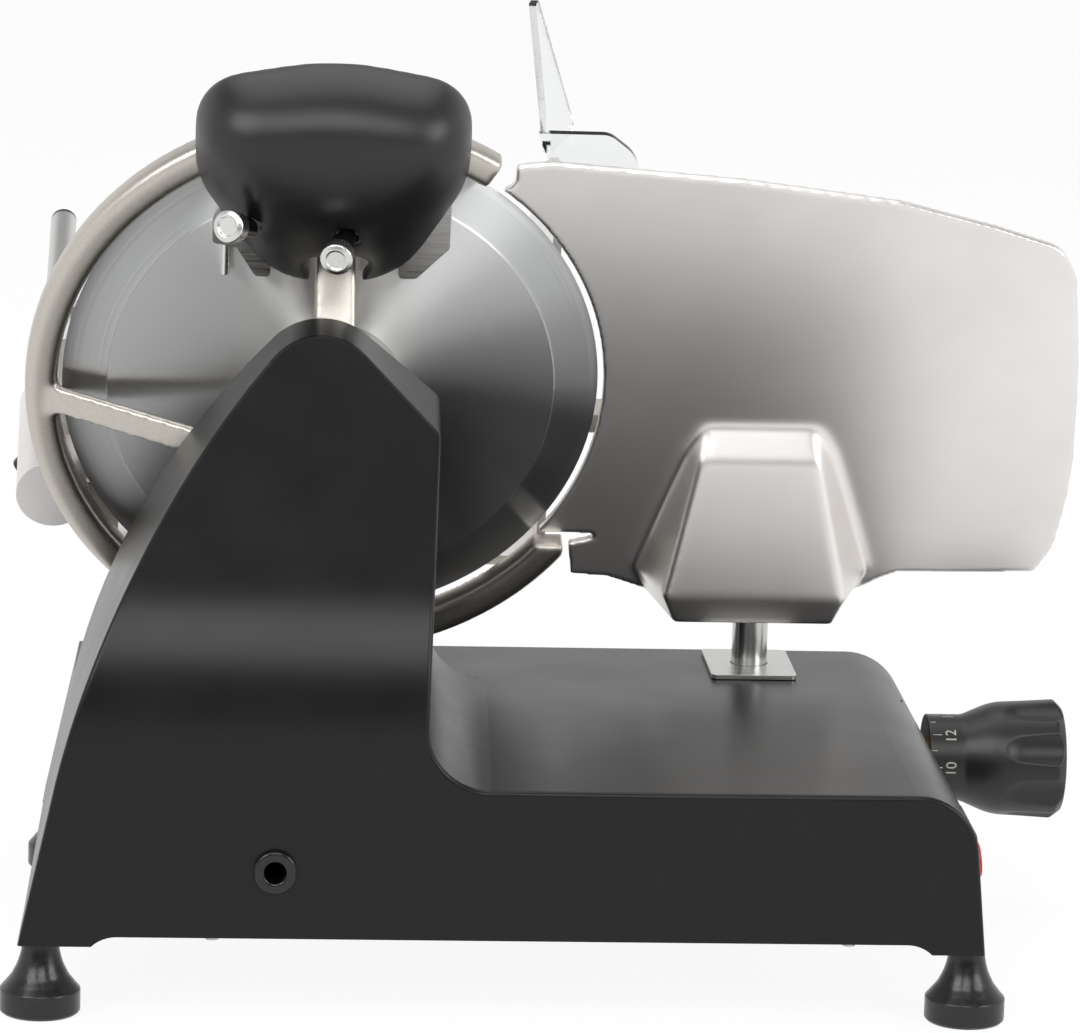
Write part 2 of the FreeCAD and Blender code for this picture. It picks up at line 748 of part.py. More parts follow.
hub = turned("HubTurned", [
    ("bearingRadius", "bladeHollow + 0.5"),
    ("bladeBore", "bladeHollow + 0.5"),
    ("bladeBore", bladeFace),
    ("flangeRadius", bladeFace),
    ("flangeRadius", "flangeBack"),
    ("rotorBody", "flangeBack"),
    ("rotorBody", "pulleyFront"),
    ("bladeBore", "pulleyFront"),
    ("bladeBore", pulleyBack),
    ("bearingRadius", pulleyBack),
    ("bearingRadius", seatNear),
    ("bearingRadius - 5", seatNear),
    ("bearingRadius - 5", seatFar),
    ("bearingRadius", seatFar),
])
hubHoles = [cylinder(f"HubHole{t}", "bladeScrewRadius", "20", (*onCircle("bladeScrewCircle", t), "-5"))
            for t in screwTurns]
finish("blade_hub", cut("BladeHub", hub, *hubHoles), bladeFrame)
screws = [cylinder(f"BladeScrew{t}", "bladeScrewRadius", "flangeBack - bladeHollow - 0.5",
                   (*onCircle("bladeScrewCircle", t), "bladeHollow")) for t in screwTurns]
finish("blade_screws", fused("BladeScrews", *screws), bladeFrame)
races = [tube(f"Bearing{i}", "bearingRadius", "axleRadius + runFit", "bearingWidth", ("0", "0", z))
         for i, z in enumerate((f"{seatFar} - bearingWidth", seatNear))]
finish("blade_bearings", fused("BladeBearings", *races), bladeFrame)
pulley = turned("PulleyTurned", [
    ("bladeBore", "pulleyFront"),
    ("pulleyRadius", "pulleyFront"),
    ("pulleyRadius", pulleyBack),
    ("bladeBore", pulleyBack),
])
finish("driven_pulley", pulley, bladeFrame)

# Fixed spindle with the disc that covers the middle of the blade
coverBack = "(bladeHollow - coverGap)"
webEnd = "(webStart + webThick)"
axle = cylinder("AxleRod", "axleRadius", f"{webEnd} + 9 - {coverBack}", ("0", "0", coverBack))
threaded = cylinder("AxleThread", "axleRadius / 2.6", "11", ("0", "0", f"{coverBack} - 1"))
finish("spindle_axle", cut("SpindleAxle", axle, threaded), bladeFrame)
nut = tube("AxleNut", "axleRadius + 5", "axleRadius", "8", ("0", "0", webEnd))
disc = turned("CoverDisc", [
    ("axleRadius / 2.6", f"{coverBack} - coverThick"),
    ("coverRadius", f"{coverBack} - coverThick", "1.2"),
    ("coverRadius", coverBack),
    ("axleRadius / 2.6", coverBack),
])
finish("blade_cover", disc, bladeFrame)
screw = cylinder("CoverScrew", "axleRadius / 2.6", "coverThick + 10",
                 ("0", "0", f"{coverBack} - coverThick"))
finish("spindle_fasteners", fused("SpindleFasteners", nut, screw), bladeFrame)

# Guard ring with its hub tube and three spokes
gapOver = "(bladeRadius - 125)"
ringInner = "(bladeRadius + ringGap)"
ringOuter = f"({ringInner} + ringWidth)"
ring = turned("RingTurned", [
    (ringInner, "ringBack"),
    (ringOuter, "ringBack", "1.5"),
    (ringOuter, "ringFront", "4"),
    (ringInner, "ringFront", "3"),
], "ringSweep")
ring = laid(ring, Placement(Vector(), Rotation(size("ringStart"), 0, 0)))
endAbove = block("RingEndAbove", "80", "60", "ringFront + 10",
                 ("ringEndX - 50", f"ringEndV - {gapOver} / 1.6", "-5"))
endBeside = block("RingEndBeside", "60", "30", "ringFront + 10",
                  (f"ringEndX + {gapOver} / 1.25", f"ringEndV - {gapOver} / 1.6 - 8", "-5"))
ring = cut("RingTrimmed", ring, endAbove, endBeside)
hubTube = cylinder("HubTube", "hubOuter", "towerBack - hubFront", ("0", "0", "hubFront"))
rimEnd = f"({ringInner} + 6)"
slimSide = [
    ("hubInner + 3", "spokeRootDepth - spokeDepth"),
    ("hubInner + 3", "spokeRootDepth"),
    (rimEnd, "ringFront - 1"),
    (rimEnd, "ringFront - 1 - spokeDepth"),
]
flatSide = [
    ("hubInner + 3", "hubFront + 1"),
    ("hubInner + 3", "spokeRootDepth"),
    ("hubInner + 10", "spokeRootDepth - 5", "6"),
    ("domeBottom + 17", "ringFront", "14"),
    (rimEnd, "ringFront"),
    (rimEnd, f"{bladeFace} + 1.2"),
    ("domeBottom + 22", f"{bladeFace} + 1.2", "30"),
]
spokes = []
for name, side, width, turn, aside in (("Top", flatSide, "topSpokeWidth", 90, 0),
                                       ("Left", slimSide, "spokeWidth", 171.4, 24.3),
                                       ("Bottom", slimSide, "spokeWidth", 270, 0)):
    spoke = extruded(f"Spoke{name}", side, f"-{width} / 2", width, "XZ_Plane")
    turnTo = Rotation(turn, 0, 0)
    spokes.append(laid(spoke, Placement(turnTo.multVec(Vector(0, aside, 0)), turnTo)))
tubeBore = cylinder("HubTubeBore", "hubInner", "towerBack + 5", ("0", "0", "0"))
ringHoles = [cylinder(f"RingHole{t}", "bladeScrewRadius", "17", (*onCircle(hubMiddle, t), "towerBack - 16"))
             for t in ringTurns]
guard = fused("GuardWhole", ring, hubTube, *spokes)
finish("blade_guard_ring", cut("GuardRing", guard, tubeBore, *ringHoles), bladeFrame)
screws = []
for turn in ringTurns:
    shank = cylinder(f"RingShank{turn}", "bladeScrewRadius", "16 + wall",
                     (*onCircle(hubMiddle, turn), "towerBack - 16"))
    head = cylinder(f"RingHead{turn}", "1.8 * bladeScrewRadius", "ringScrewHead",
                    (*onCircle(hubMiddle, turn), wallInside))
    screws.append(fused(f"RingScrew{turn}", shank, head))
ringScrews = screws

# Motor inside the tower, with the belt to the blade
motorAt = ("motorX", "motorV")
motorBack = "(motorFront + motorLength)"
housing = cylinder("HousingRod", "motorRadius", "motorLength", (*motorAt, "motorFront"))
cavity = cylinder("HousingCavity", "motorRadius - motorWall", "motorLength", (*motorAt, "motorFront + 10"))
nose = cylinder("HousingNose", "motorShaft + runFit", "20", (*motorAt, "motorFront - 5"))
noseHoles = [cylinder(f"NoseHole{i}", "motorScrewRadius", "16",
                      (*aroundMotor("motorBossCircle", t), "motorFront - 5"))
             for i, t in enumerate(bossTurns)]
finish("motor_housing", cut("MotorHousing", housing, cavity, nose, *noseHoles), bladeFrame)
plug = cylinder("EndPlug", "motorRadius - motorWall", "5", (*motorAt, f"{motorBack} - 5"))
seat = cylinder("EndSeat", "motorShaft + runFit", "12", (*motorAt, f"{motorBack} - 7"))
finish("motor_end_cap", cut("MotorEndCap", plug, seat), bladeFrame)
statorLength = "motorLength - 34"
stator = tube("Stator", "motorRadius - motorWall", "rotorCore + 0.6", statorLength,
              (*motorAt, "motorFront + 18"))
finish("motor_stator", stator, bladeFrame)
shaft = cylinder("ShaftRod", "motorShaft", f"{motorBack} - pulleyFront", (*motorAt, "pulleyFront"))
core = cylinder("RotorCore", "rotorCore", "motorLength - 38", (*motorAt, "motorFront + 20"))
small = cylinder("DrivePulley", "drivePulley", "pulleyWidth", (*motorAt, "pulleyFront"))
finish("motor_rotor", fused("MotorRotor", shaft, core, small), bladeFrame)
screws = [cylinder(f"MotorScrew{i}", "motorScrewRadius", "motorFront - towerBack + 8",
                   (*aroundMotor("motorBossCircle", t), "towerBack")) for i, t in enumerate(bossTurns)]
finish("tower_screws", fused("TowerScrews", *screws, *ringScrews), bladeFrame)


def beltLoop(name, offset):
    """Band outline round both pulleys, that far outside them, as a solid plate."""
    small, large = size("drivePulley") + offset, size("pulleyRadius") + offset
    start = Vector(size("motorX"), size("motorV"), 0)
    span = start.Length
    along = math.atan2(-start.y, -start.x)
    side = math.acos((small - large) / span)

    def at(centre, radius, angle):
        return centre + Vector(math.cos(angle), math.sin(angle), 0) * radius

    ends = [at(start, small, along + side), at(start, small, along + math.pi),
            at(start, small, along - side),
            at(Vector(), large, along - side), at(Vector(), large, along),
            at(Vector(), large, along + side)]
    wire = Part.Wire([Part.Arc(*ends[0:3]).toShape(), Part.makeLine(ends[2], ends[3]),
                      Part.Arc(*ends[3:6]).toShape(), Part.makeLine(ends[5], ends[0])])
    plate = Part.Face(wire).extrude(Vector(0, 0, size("pulleyWidth - 2")))
    plate.translate(Vector(0, 0, size("pulleyFront + 1")))
    return plate


loop = beltLoop("outer", size("beltFit + beltThick")).cut(beltLoop("inner", size("beltFit")))
finish("drive_belt", shaped("DriveBelt", loop), bladeFrame)
can = cylinder("CapacitorCan", "capacitorRadius", "capacitorLength",
               ("0", "-baseFront / 1.6", f"{undersideZ} + capacitorRadius"), "x")
finish("motor_capacitor", can)

# Gauge plate with its boss, carried by a post from a slide block under the deck
gaugeNear, gaugeFace = "-gaugeProud", "(gaugeThick - gaugeProud)"
panel = extruded("GaugePanel", [
    ("0.571 * bladeRadius", "0.820 * bladeRadius"),
    ("0.633 * bladeRadius", "0.827 * bladeRadius"),
    ("0.653 * bladeRadius", "0.856 * bladeRadius"),
    ("0.654 * bladeRadius", "0.917 * bladeRadius"),
    ("0.783 * bladeRadius", "0.934 * bladeRadius", "6"),
    ("gaugeRight - 165", "109.2"),
    ("gaugeRight - 93", "99.8", "60"),
    ("gaugeRight - 48", "87.8", "60"),
    ("gaugeRight - 16", "77.4", "14"),
    ("gaugeRight - 8", "62.8", "14"),
    ("gaugeRight - 2.5", "15", "300"),
    ("gaugeRight", "-47", "200"),
    ("gaugeRight - 6", "-83", "20"),
    ("gaugeRight - 14", "-97", "5"),
    ("gaugeRight - 80", "-98", "10"),
    ("gaugeRight - 98", "-107.7", "10"),
    ("1.223 * bladeRadius", "-0.876 * bladeRadius", "8"),
    ("1.066 * bladeRadius", "-0.818 * bladeRadius", "6"),
    ("0.940 * bladeRadius", "-0.814 * bladeRadius", "2"),
    ("0.924 * bladeRadius", "-0.680 * bladeRadius", "1"),
    ("1.029 * bladeRadius", "-0.654 * bladeRadius"),
    ("1.008 * bladeRadius", "-0.634 * bladeRadius"),
    ("0.800 * bladeRadius", "-0.632 * bladeRadius"),
], gaugeNear, "gaugeThick")
bossX = "(postX - bladeX)"
bossSections = []
for v, base, front, rise in (("-20", 29, 25, "1"), ("-34", 36, 28, "10"), ("-97", 56, 43, "bossDepth - 3"),
                             ("-bossFoot", 48, 37, "bossDepth - 4")):
    bossSections.append((f"-({v})", [
        (f"{bossX} - {base}", f"{gaugeFace} - 1"),
        (f"{bossX} + {base}", f"{gaugeFace} - 1"),
        (f"{bossX} + {front}", f"{gaugeFace} + {rise}"),
        (f"{bossX} - {front}", f"{gaugeFace} + {rise}"),
    ]))
boss = lofted("GaugeBoss", "XZ_Plane", bossSections)
bladeRoom = cylinder("BladeRoom", "bladeRadius + gaugeFit", "gaugeThick + 10",
                     ("0", "0", f"{gaugeNear} - 5"))
gauge = cut("GaugeTrimmed", fused("GaugeWhole", panel, boss), bladeRoom)
postTop = f"({bladeZ} - bossFoot * cos(bladeLean) - bossAxis * sin(bladeLean) + postGrip)"
slideZ = f"({deckZ} - slideDrop)"
post = cylinder("Post", "postRadius", f"{postTop} - {slideZ}", ("postX", postY, slideZ))
gauge = cut("GaugePlate", laid(gauge, bladeFrame), post)
finish("gauge_plate", gauge)
finish("gauge_post", post)

slider = block("SlideBlank", "2 * slideHalfX", "2 * slideHalfV", "2 * slideHalfN",
               ("-slideHalfX", "-slideHalfV", "-slideHalfN"))
bushOuter = "(guideRodRadius + 2.5)"
rodSpots = [f"{side} * guideRodSpread" for side in (-1, 1)]
slideHoles = [cylinder(f"SlideHole{i}", bushOuter, "2 * slideHalfN + 2", (x, "0", "-slideHalfN - 1"))
              for i, x in enumerate(rodSpots)]
slider = laid(cut("SlideBored", slider, *slideHoles), slideFrame)
followerY = "(knobY + scrollStart * cos(bladeLean))"
followerZ = f"({knobAxis[1]} + scrollStart * sin(bladeLean))"
scrollX = "(postX + slideHalfX + 3)"
followerEnd = f"({scrollX} + grooveDepth - 0.4)"
followerStart = f"(postX + guideRodSpread + {bushOuter} + 0.5)"
follower = cylinder("Follower", "followerRadius", f"{followerEnd} - {followerStart}",
                    (followerStart, followerY, followerZ), "x")
finish("gauge_slide_block", cut("GaugeSlideBlock", slider, post, follower))
bushes = [tube(f"GaugeBush{i}", bushOuter, "guideRodRadius + runFit", "2 * slideHalfN",
               (x, "0", "-slideHalfN"))
          for i, x in enumerate(rodSpots)]
bushes = laid(fused("GaugeBushes", *bushes), slideFrame)
finish("gauge_slide_fittings", fused("SlideFittings", bushes, follower))
rods = [cylinder(f"GuideRod{i}", "guideRodRadius", f"{lugFar} - {lugNear} + lugThick", (x, "0", lugNear))
        for i, x in enumerate(rodSpots)]
finish("gauge_guide_rods", fused("GaugeGuideRods", *rods), slideFrame)
lid = extruded("SlotLid", [
    ("postX - slotCoverX / 2", f"{postY} - slotCoverY / 2", "3"),
    ("postX + slotCoverX / 2", f"{postY} - slotCoverY / 2", "3"),
    ("postX + slotCoverX / 2", f"{postY} + slotCoverY / 2", "3"),
    ("postX - slotCoverX / 2", f"{postY} + slotCoverY / 2", "3"),
], f"{deckZ} + slideFit", "slotCoverThick")
lidHole = cylinder("LidHole", "postRadius + slideFit", "slotCoverThick + 4",
                   ("postX", postY, f"{deckZ} - 1"))
finish("slot_cover", cut("SlotCover", lid, lidHole))

# Thickness knob, whose spiral groove draws the slide block along
camDisc = cylinder("CamDisc", "scrollRadius", "scrollThick", (scrollX, *knobAxis), "x")
camHub = cylinder("CamHub", "knobShaft + 5", "scrollThick + 8", (scrollX, *knobAxis), "x")
shaftStart = f"({scrollX} + scrollThick)"


def spiralGroove(width, depth):
    """Spiral slot round the knob's axis, open towards -X, as the solid that is cut away."""
    pitch = size("gaugeTravel") / math.radians(size("knobTurn"))
    start, total = math.radians(size("bladeLean")), math.radians(size("knobTurn"))
    sides = ([], [])
    for i in range(49):
        turn = total * i / 48
        radius = size("scrollStart") - pitch * turn
        out = Vector(0, math.cos(start - turn), math.sin(start - turn))
        along = Vector(0, out.z, -out.y)
        normal = (out * radius + along * pitch).normalize()
        for points, side in zip(sides, (1, -1)):
            points.append(out * radius + normal * width * side)
    curves = []
    for points in (sides[0], sides[1][::-1]):
        curve = Part.BSplineCurve()
        curve.interpolate(points)
        curves.append(curve.toShape())
    caps = []
    for near, far, turn, heading in ((sides[0][-1], sides[1][-1], total, 1),
                                     (sides[1][0], sides[0][0], 0, -1)):
        out = Vector(0, math.cos(start - turn), math.sin(start - turn))
        ahead = Vector(0, out.z, -out.y) * heading
        caps.append(Part.Arc(near, (near + far) * 0.5 + ahead * width, far).toShape())
    wire = Part.Wire([curves[0], caps[0], curves[1], caps[1]])
    groove = Part.Face(wire).extrude(Vector(depth + 2, 0, 0))
    groove.translate(Vector(size(scrollX) - 2, size("knobY"), size(knobAxis[1])))
    return groove


groove = shaped("SpiralGroove", spiralGroove(size("followerRadius + slideFit"), size("grooveDepth")))
knobBore = "14"
spindle = cylinder("KnobSpindle", "knobShaft", f"knobStart + {knobBore} - {shaftStart}",
                   (shaftStart, *knobAxis), "x")
finish("scroll_shaft", cut("ScrollShaft", fused("CamWhole", camDisc, camHub, spindle), groove))
bushStart = "(baseRight - wall - 12)"
bush = tube("KnobBush", "knobBush", "knobShaft + runFit", "wall + 11", (bushStart, *knobAxis), "x")
finish("knob_bushing", bush)
knob = turned("KnobTurned", [
    ("0", "0"),
    ("knobNeck", "0", "0.8"),
    ("knobNeck", "knobSkirt", "6"),
    ("knobRim - 2", "knobSkirt + 14", "30"),
    ("knobRim", "knobLength - 4", "2.5"),
    ("knobRim - 4", "knobLength", "2"),
    ("knobRim - 9", "knobLength", "1"),
    ("knobRim - 10", "knobLength - 2", "1"),
    ("0", "knobLength - 2"),
])
flutes = []
for number in range(8):
    turn = 45 * number + 22.5
    flute = cylinder(f"Flute{number}", "5.5", "knobLength",
                     (*onCircle("(knobRim + 2.6)", turn), "knobSkirt + 12"))
    flutes.append(flute)
knobHole = cylinder("KnobHole", "knobShaft", f"{knobBore} + 1", ("0", "0", "-1"))
knobFrame = Placement(Vector(size("knobStart"), size("knobY"), size(knobAxis[1])),
                      Rotation(Vector(0, 1, 0), 90))
finish("thickness_knob", cut("ThicknessKnob", knob, knobHole, *flutes), knobFrame)

# Switch in the end wall: frame, body and two sprung buttons
wallLean = "(baseRight - deckRight) / (deckZ - footHeight)".replace("deckZ", deckZ)
switchX = f"baseRight - ({switchAt[1]} - footHeight) * {wallLean}"
wallTurn = 90 - math.degrees(math.atan(size(wallLean)))
switchFrame = Placement(Vector(size(switchX), size(switchAt[0]), size(switchAt[1])),
                        Rotation(Vector(0, 1, 0), wallTurn))
bezelHalf, bezelTall = "bezelLength / 2", "bezelHeight / 2"
frame = extruded("BezelPlate", [
    (f"-{bezelTall}", f"-{bezelHalf}", "4"),
    (bezelTall, f"-{bezelHalf}", "4"),
    (bezelTall, bezelHalf, "4"),
    (f"-{bezelTall}", bezelHalf, "4"),
], "0", "bezelThick")
buttonSpots = {"start_button": "buttonSpread", "stop_button": "-buttonSpread"}
bezelHoles = [cylinder(f"Bezel_{n}", "buttonRadius + slideFit", "10", ("0", y, "-5"))
              for n, y in buttonSpots.items()]
finish("switch_bezel", cut("SwitchBezel", frame, *bezelHoles), switchFrame)
blank = block("SwitchBlank", "bezelHeight - 9", "bezelLength - 9", "22",
              ("-bezelHeight / 2 + 4.5", "-bezelLength / 2 + 4.5", "-22"))
pits = [cylinder(f"Pit_{n}", "buttonRadius + slideFit", "12", ("0", y, "-10"))
        for n, y in buttonSpots.items()]
finish("switch_block", cut("SwitchBlock", blank, *pits), switchFrame)
for name, y in buttonSpots.items():
    cap = turned(f"Cap_{name}", [
        ("0", "0"),
        ("buttonRadius", "0"),
        ("buttonRadius", "9", "1.2"),
        ("0", "8.4"),
    ])
    offset = Placement(Vector(0, size(y), -size("bezelThick") * 2.2), Rotation())
    finish(name, cap, switchFrame.multiply(offset))

# Sharpener: a block on top of the guard ring with two stones, under a domed cover


def domeForm(name, inset, start):
    """Soft dome over the rim plane, or its hollow when it is inset by the wall."""

    def section(side, top, bottom):
        left, right = f"(-domeLeft + {side} + {inset})", f"(domeRight - {side} - {inset})"
        high = f"(domeTop + {gapOver} - {top} - {inset})"
        low = f"(domeBottom + {gapOver} + {bottom} + {inset})"
        width, height = f"({right} - {left})", f"({high} - {low})"
        return [
            (left, f"{high} - 0.105 * {height}", f"0.21 * {height}"),
            (f"{left} + 0.5 * {width}", high, width),
            (right, f"{high} - 0.105 * {height}", f"0.21 * {height}"),
            (right, f"{low} + 0.47 * {height}", f"0.36 * {height}"),
            (f"{left} + 0.75 * {width}", low, f"0.34 * {height}"),
            (f"{left} + 0.30 * {width}", low, f"0.34 * {height}"),
            (left, f"{low} + 0.47 * {height}", f"0.36 * {height}"),
        ]

    levels = []
    for rise, side, top, bottom in ((0.0, 0, 0, 0), (0.31, 0, 0.5, 15), (0.59, 3, 4.5, 31),
                                    (0.83, 10.5, 12.5, 48), (1.0, 21.5, 23.5, 64)):
        depth = f"{start} + (domeBack + domeDepth - {inset} - ({start})) * {rise}"
        levels.append((depth, section(side, top, bottom)))
    body = lofted(name, "XY_Plane", levels)
    body.Tip.Ruled = False
    return body


dome = cut("DomeShell", domeForm("DomeOuter", "0", "domeBack"),
           domeForm("DomeHollow", "domeWall", "domeBack - 5"))
spokeRoom = block("SpokeRoom", "topSpokeWidth + 3", "40", "22",
                  ("-topSpokeWidth / 2 - 1.5", f"domeBottom + {gapOver} - 12", "domeBack - 6"))
dome = cut("DomeNotched", dome, spokeRoom)
sharpenerFront = "(ringFront + 16.5)"
posts = [cylinder(f"CoverPost{side}", "4", f"domeBack + domeDepth - domeWall / 2 - {sharpenerFront}",
                  (f"{side} * 27 - 4", "bladeRadius + 12", sharpenerFront)) for side in (-1, 1)]
dome = fused("DomeWithPosts", dome, *posts)
stoneV = "(bladeRadius - 17)"
stoneX = "24"
sharpFrame = Placement(Vector(-0.6, 100.8 + size(gapOver), 63.2),
                       Rotation(Vector(0, 0, 1), Vector(-0.21, 0.06, 0.98)))
deburrFrame = Placement(Vector(-47.1, 106.9 + size(gapOver), 51.8),
                        Rotation(Vector(0, 0, 1), Vector(-0.47, 0.44, 0.76)))
stemHoles = [laid(cylinder("SharpStemHole", "plungerRadius + 1 + slideFit", "30", (0, 0, "-24")),
                  sharpFrame),
             laid(cylinder("DeburrStemHole", "plungerRadius + 1 + slideFit", "22", (0, 0, "-17")),
                  deburrFrame)]
finish("sharpener_cover", cut("SharpenerCover", dome, *stemHoles), bladeFrame)

bodyTop = f"({ringOuter} + 9)"
blank = extruded("SharpenerBlank", [
    ("-42", bodyTop, "4"),
    ("42", bodyTop, "4"),
    ("42", "bladeRadius - 12"),
    ("31", "bladeRadius - 27"),
    ("-36", "bladeRadius - 27"),
    ("-42", "bladeRadius - 20"),
], "ringFront + 0.5", f"{sharpenerFront} - ringFront - 0.5")
hookTop = extruded("HookTop", [
    ("-35", f"{ringOuter} + 1"),
    ("-12", f"{ringOuter} + 1"),
    ("-12", bodyTop, "3"),
    ("-35", bodyTop, "3"),
], "-14", "35")
hookLeg = extruded("HookLeg", [
    ("-35", "bladeRadius - 25", "8"),
    ("-12", "bladeRadius - 25", "8"),
    ("-12", f"{ringOuter} + 5"),
    ("-35", f"{ringOuter} + 5"),
], "-14", "4")
feetBlanks = [
    extruded("SharpenerFootRight", [
        ("29", "bladeRadius - 14"),
        ("29", "bladeRadius - 63", "2"),
        ("37", "bladeRadius - 63", "3"),
        ("52", "bladeRadius - 47", "3"),
        ("52", "bladeRadius - 22", "3"),
        ("44", "bladeRadius - 14"),
    ], f"{bladeFace} + 1.5", "6.2"),
    extruded("SharpenerFootLeft", [
        ("-30", "bladeRadius - 14"),
        ("-30", "bladeRadius - 63", "2"),
        ("-37", "bladeRadius - 63", "3"),
        ("-46", "bladeRadius - 48", "2"),
        ("-57", "bladeRadius - 46", "2"),
        ("-57", "bladeRadius - 36", "6"),
        ("-44", "bladeRadius - 14"),
    ], f"{bladeFace} + 1.5", "6.2"),
]
stoneRest = f"({bladeFace} + stoneClear + sharpenTravel)"
pocket = cylinder("StonePocket", "stoneRadius + 1", f"{stoneRest} + stoneThick + 0.6",
                  (stoneX, stoneV, "0"))
shaftHole = cylinder("StoneShaftHole", "plungerRadius + runFit", "40", (stoneX, stoneV, "0"))
deburrAt = ("-23.5", "bladeRadius - 12")
deburrHole = cylinder("DeburrShaftHole", "plungerRadius + runFit - 0.5", "20", (*deburrAt, "-24"))
pinAt = ("-50.6", "bladeRadius - 63", f"{bladeFace} + 4.6")
pinHole = cylinder("PinHole", "lockPin", "40", pinAt, "y")
whole = fused("SharpenerWhole", blank, hookTop, hookLeg, *feetBlanks)
finish("sharpener_body", cut("SharpenerBody", whole, pocket, shaftHole, deburrHole, pinHole), bladeFrame)
finish("sharpener_lock_pin", cylinder("LockPin", "lockPin", "24", pinAt, "y"), bladeFrame)

stone = cylinder("Stone", "stoneRadius", "stoneThick", (stoneX, stoneV, stoneRest))
stem = cylinder("StoneStem", "plungerRadius", "15", (stoneX, stoneV, f"{stoneRest} + stoneThick"))
finish("sharpening_stone", fused("SharpeningStone", stone, stem), bladeFrame)
stone = cylinder("DeburrStone", "stoneRadius - 2", "stoneThick - 0.5", (*deburrAt, "-4.1 - stoneThick"))
stem = cylinder("DeburrStem", "plungerRadius - 0.5", "9.5", (*deburrAt, "-13.6 - stoneThick"))
finish("deburring_stone", fused("DeburringStone", stone, stem), bladeFrame)


def button(label, place, stemLength):
    """Round cap on a dark stem, along its own leaning axis."""
    cap = turned(f"{label}Cap", [
        ("0", "0"),
        ("capRadius - 0.6", "0", "0.4"),
        ("capRadius", "capLength - 1", "1"),
        ("capRadius - 2.6", "capLength", "1"),
        ("capRadius - 3.4", "capLength - 0.8", "0.3"),
        ("0", "capLength - 0.8"),
    ])
    finish(label, cap, bladeFrame.multiply(place))
    stem = cylinder(f"{label}Stem", "plungerRadius + 1", stemLength, (0, 0, f"-({stemLength})"))
    finish(f"{label}_stem", stem, bladeFrame.multiply(place))


button("sharpen_button", sharpFrame, "18")
button("deburr_button", deburrFrame, "13")

# Carriage behind the base: rod, rail and brackets, then the sliding shoe and its column
rodAt = ("rodY", f"{deckZ} - rodDrop")
finish("carriage_rod", cylinder("CarriageRod", "rodRadius", "rodRight - rodLeft", ("rodLeft", *rodAt), "x"))
brackets = []
for name, x in (("Left", "rodLeft"), ("Right", "rodRight - bracketThick")):
    plate = block(f"Bracket{name}", "bracketThick", "rodY + 12 - baseBack", "30",
                  (x, "baseBack", f"{rodAt[1]} - 15"))
    brackets.append(plate)
rodRoom = cylinder("RodRoom", "rodRadius", "rodRight - rodLeft + 2", ("rodLeft - 1", *rodAt), "x")
brackets = cut("CarriageBrackets", fused("BracketPair", *brackets), rodRoom)
railTop = f"({deckZ} - railDrop + railHeight / 2)"
rail = block("Rail", "rodRight - rodLeft", "railDepth", "railHeight",
             ("rodLeft", "baseBack", f"{railTop} - railHeight"))
finish("carriage_mounts", fused("CarriageMounts", brackets, rail))
shoeFront = "(baseBack + railDepth + 1.5)"
shoeBlank = block("ShoeBlank", "shoeLength", "2 * shoeHalf", "2 * shoeHalf",
                  ("shoeStart", "rodY - shoeHalf", f"{rodAt[1]} - shoeHalf"))
shoeBore = cylinder("ShoeBore", "rodRadius + 2.5", "shoeLength + 2", ("shoeStart - 1", *rodAt), "x")
columnStart = "(shoeStart + (shoeLength - armWidth) / 2)"
tableUnder = "(bladeZ - (-tableV + tableThick) / cos(bladeLean))".replace("bladeZ", bladeZ)


def underTable(y):
    return f"({tableUnder} + ({y} - bladeY) * tan(bladeLean))"


columnBack = "(rodY - armThick / 2)"
columnFar = "(rodY + armThick / 2)"
column = extruded("Column", [
    (columnBack, f"{rodAt[1]} + shoeHalf - 2"),
    (columnFar, f"{rodAt[1]} + shoeHalf - 2"),
    (columnFar, f"{underTable(columnFar)}"),
    (columnBack, f"{underTable(columnBack)}"),
], columnStart, "armWidth", "YZ_Plane")
flange = block("ColumnFlange", "armWidth + 24", "5", "60",
               (f"{columnStart} - 12 - bladeX", "tableV - tableThick - 5", "-95"))
whole = fused("ShoeWhole", shoeBlank, column, laid(flange, bladeFrame))
finish("carriage_shoe", cut("CarriageShoe", whole, shoeBore))
shoeBushes = [tube(f"ShoeBush{i}", "rodRadius + 2.5", "rodRadius + runFit", "20", (x, *rodAt), "x")
              for i, x in enumerate(("shoeStart", "shoeStart + shoeLength - 20"))]
finish("shoe_bushes", fused("ShoeBushes", *shoeBushes))

# Food table, its end fence, the clear hand guard and the handle
table = extruded("TablePlate", [
    ("tableLeft", "tableFar", "10"),
    ("tableRight - fenceThick", "tableFar"),
    ("tableRight - fenceThick", "tableNear"),
    ("tableLeft", "tableNear", "3"),
], "-tableV", "tableThick", "XZ_Plane")
farLip = block("TableLip", "tableRight - tableLeft - 24", "13", "3",
               ("tableLeft + 12", "tableV - tableThick", "tableFar"))
fence = extruded("FencePlate", [
    ("tableV - tableThick", "tableNear - 2"),
    ("fenceTop", "tableNear - 2", "6"),
    ("fenceTop", "tableNear - 46", "14"),
    ("20", "-150", "30"),
    ("tableV + 10", "tableFar", "10"),
    ("tableV - tableThick", "tableFar"),
], "tableRight - fenceThick", "fenceThick", "YZ_Plane")
finish("food_table", fused("FoodTable", table, farLip), bladeFrame)
finish("table_fence", fence, bladeFrame)
guardBack = "(tableNear - 10)"
sheetOutline = [
    ("tableRight + 0.01", "fenceTop - 20"),
    ("tableRight + 34", "fenceTop - 20", "5"),
    ("tableRight + 34", "fenceTop + 19", "16"),
    ("tableRight + 20", "fenceTop + 30.5", "10"),
    ("tableRight - 13.3", "fenceTop + 30.7", "1"),
    ("tableRight - 3", "fenceTop + 3", "2"),
    ("tableRight - 3", "fenceTop + 0.3"),
    ("tableRight + 0.01", "fenceTop + 0.3"),
]
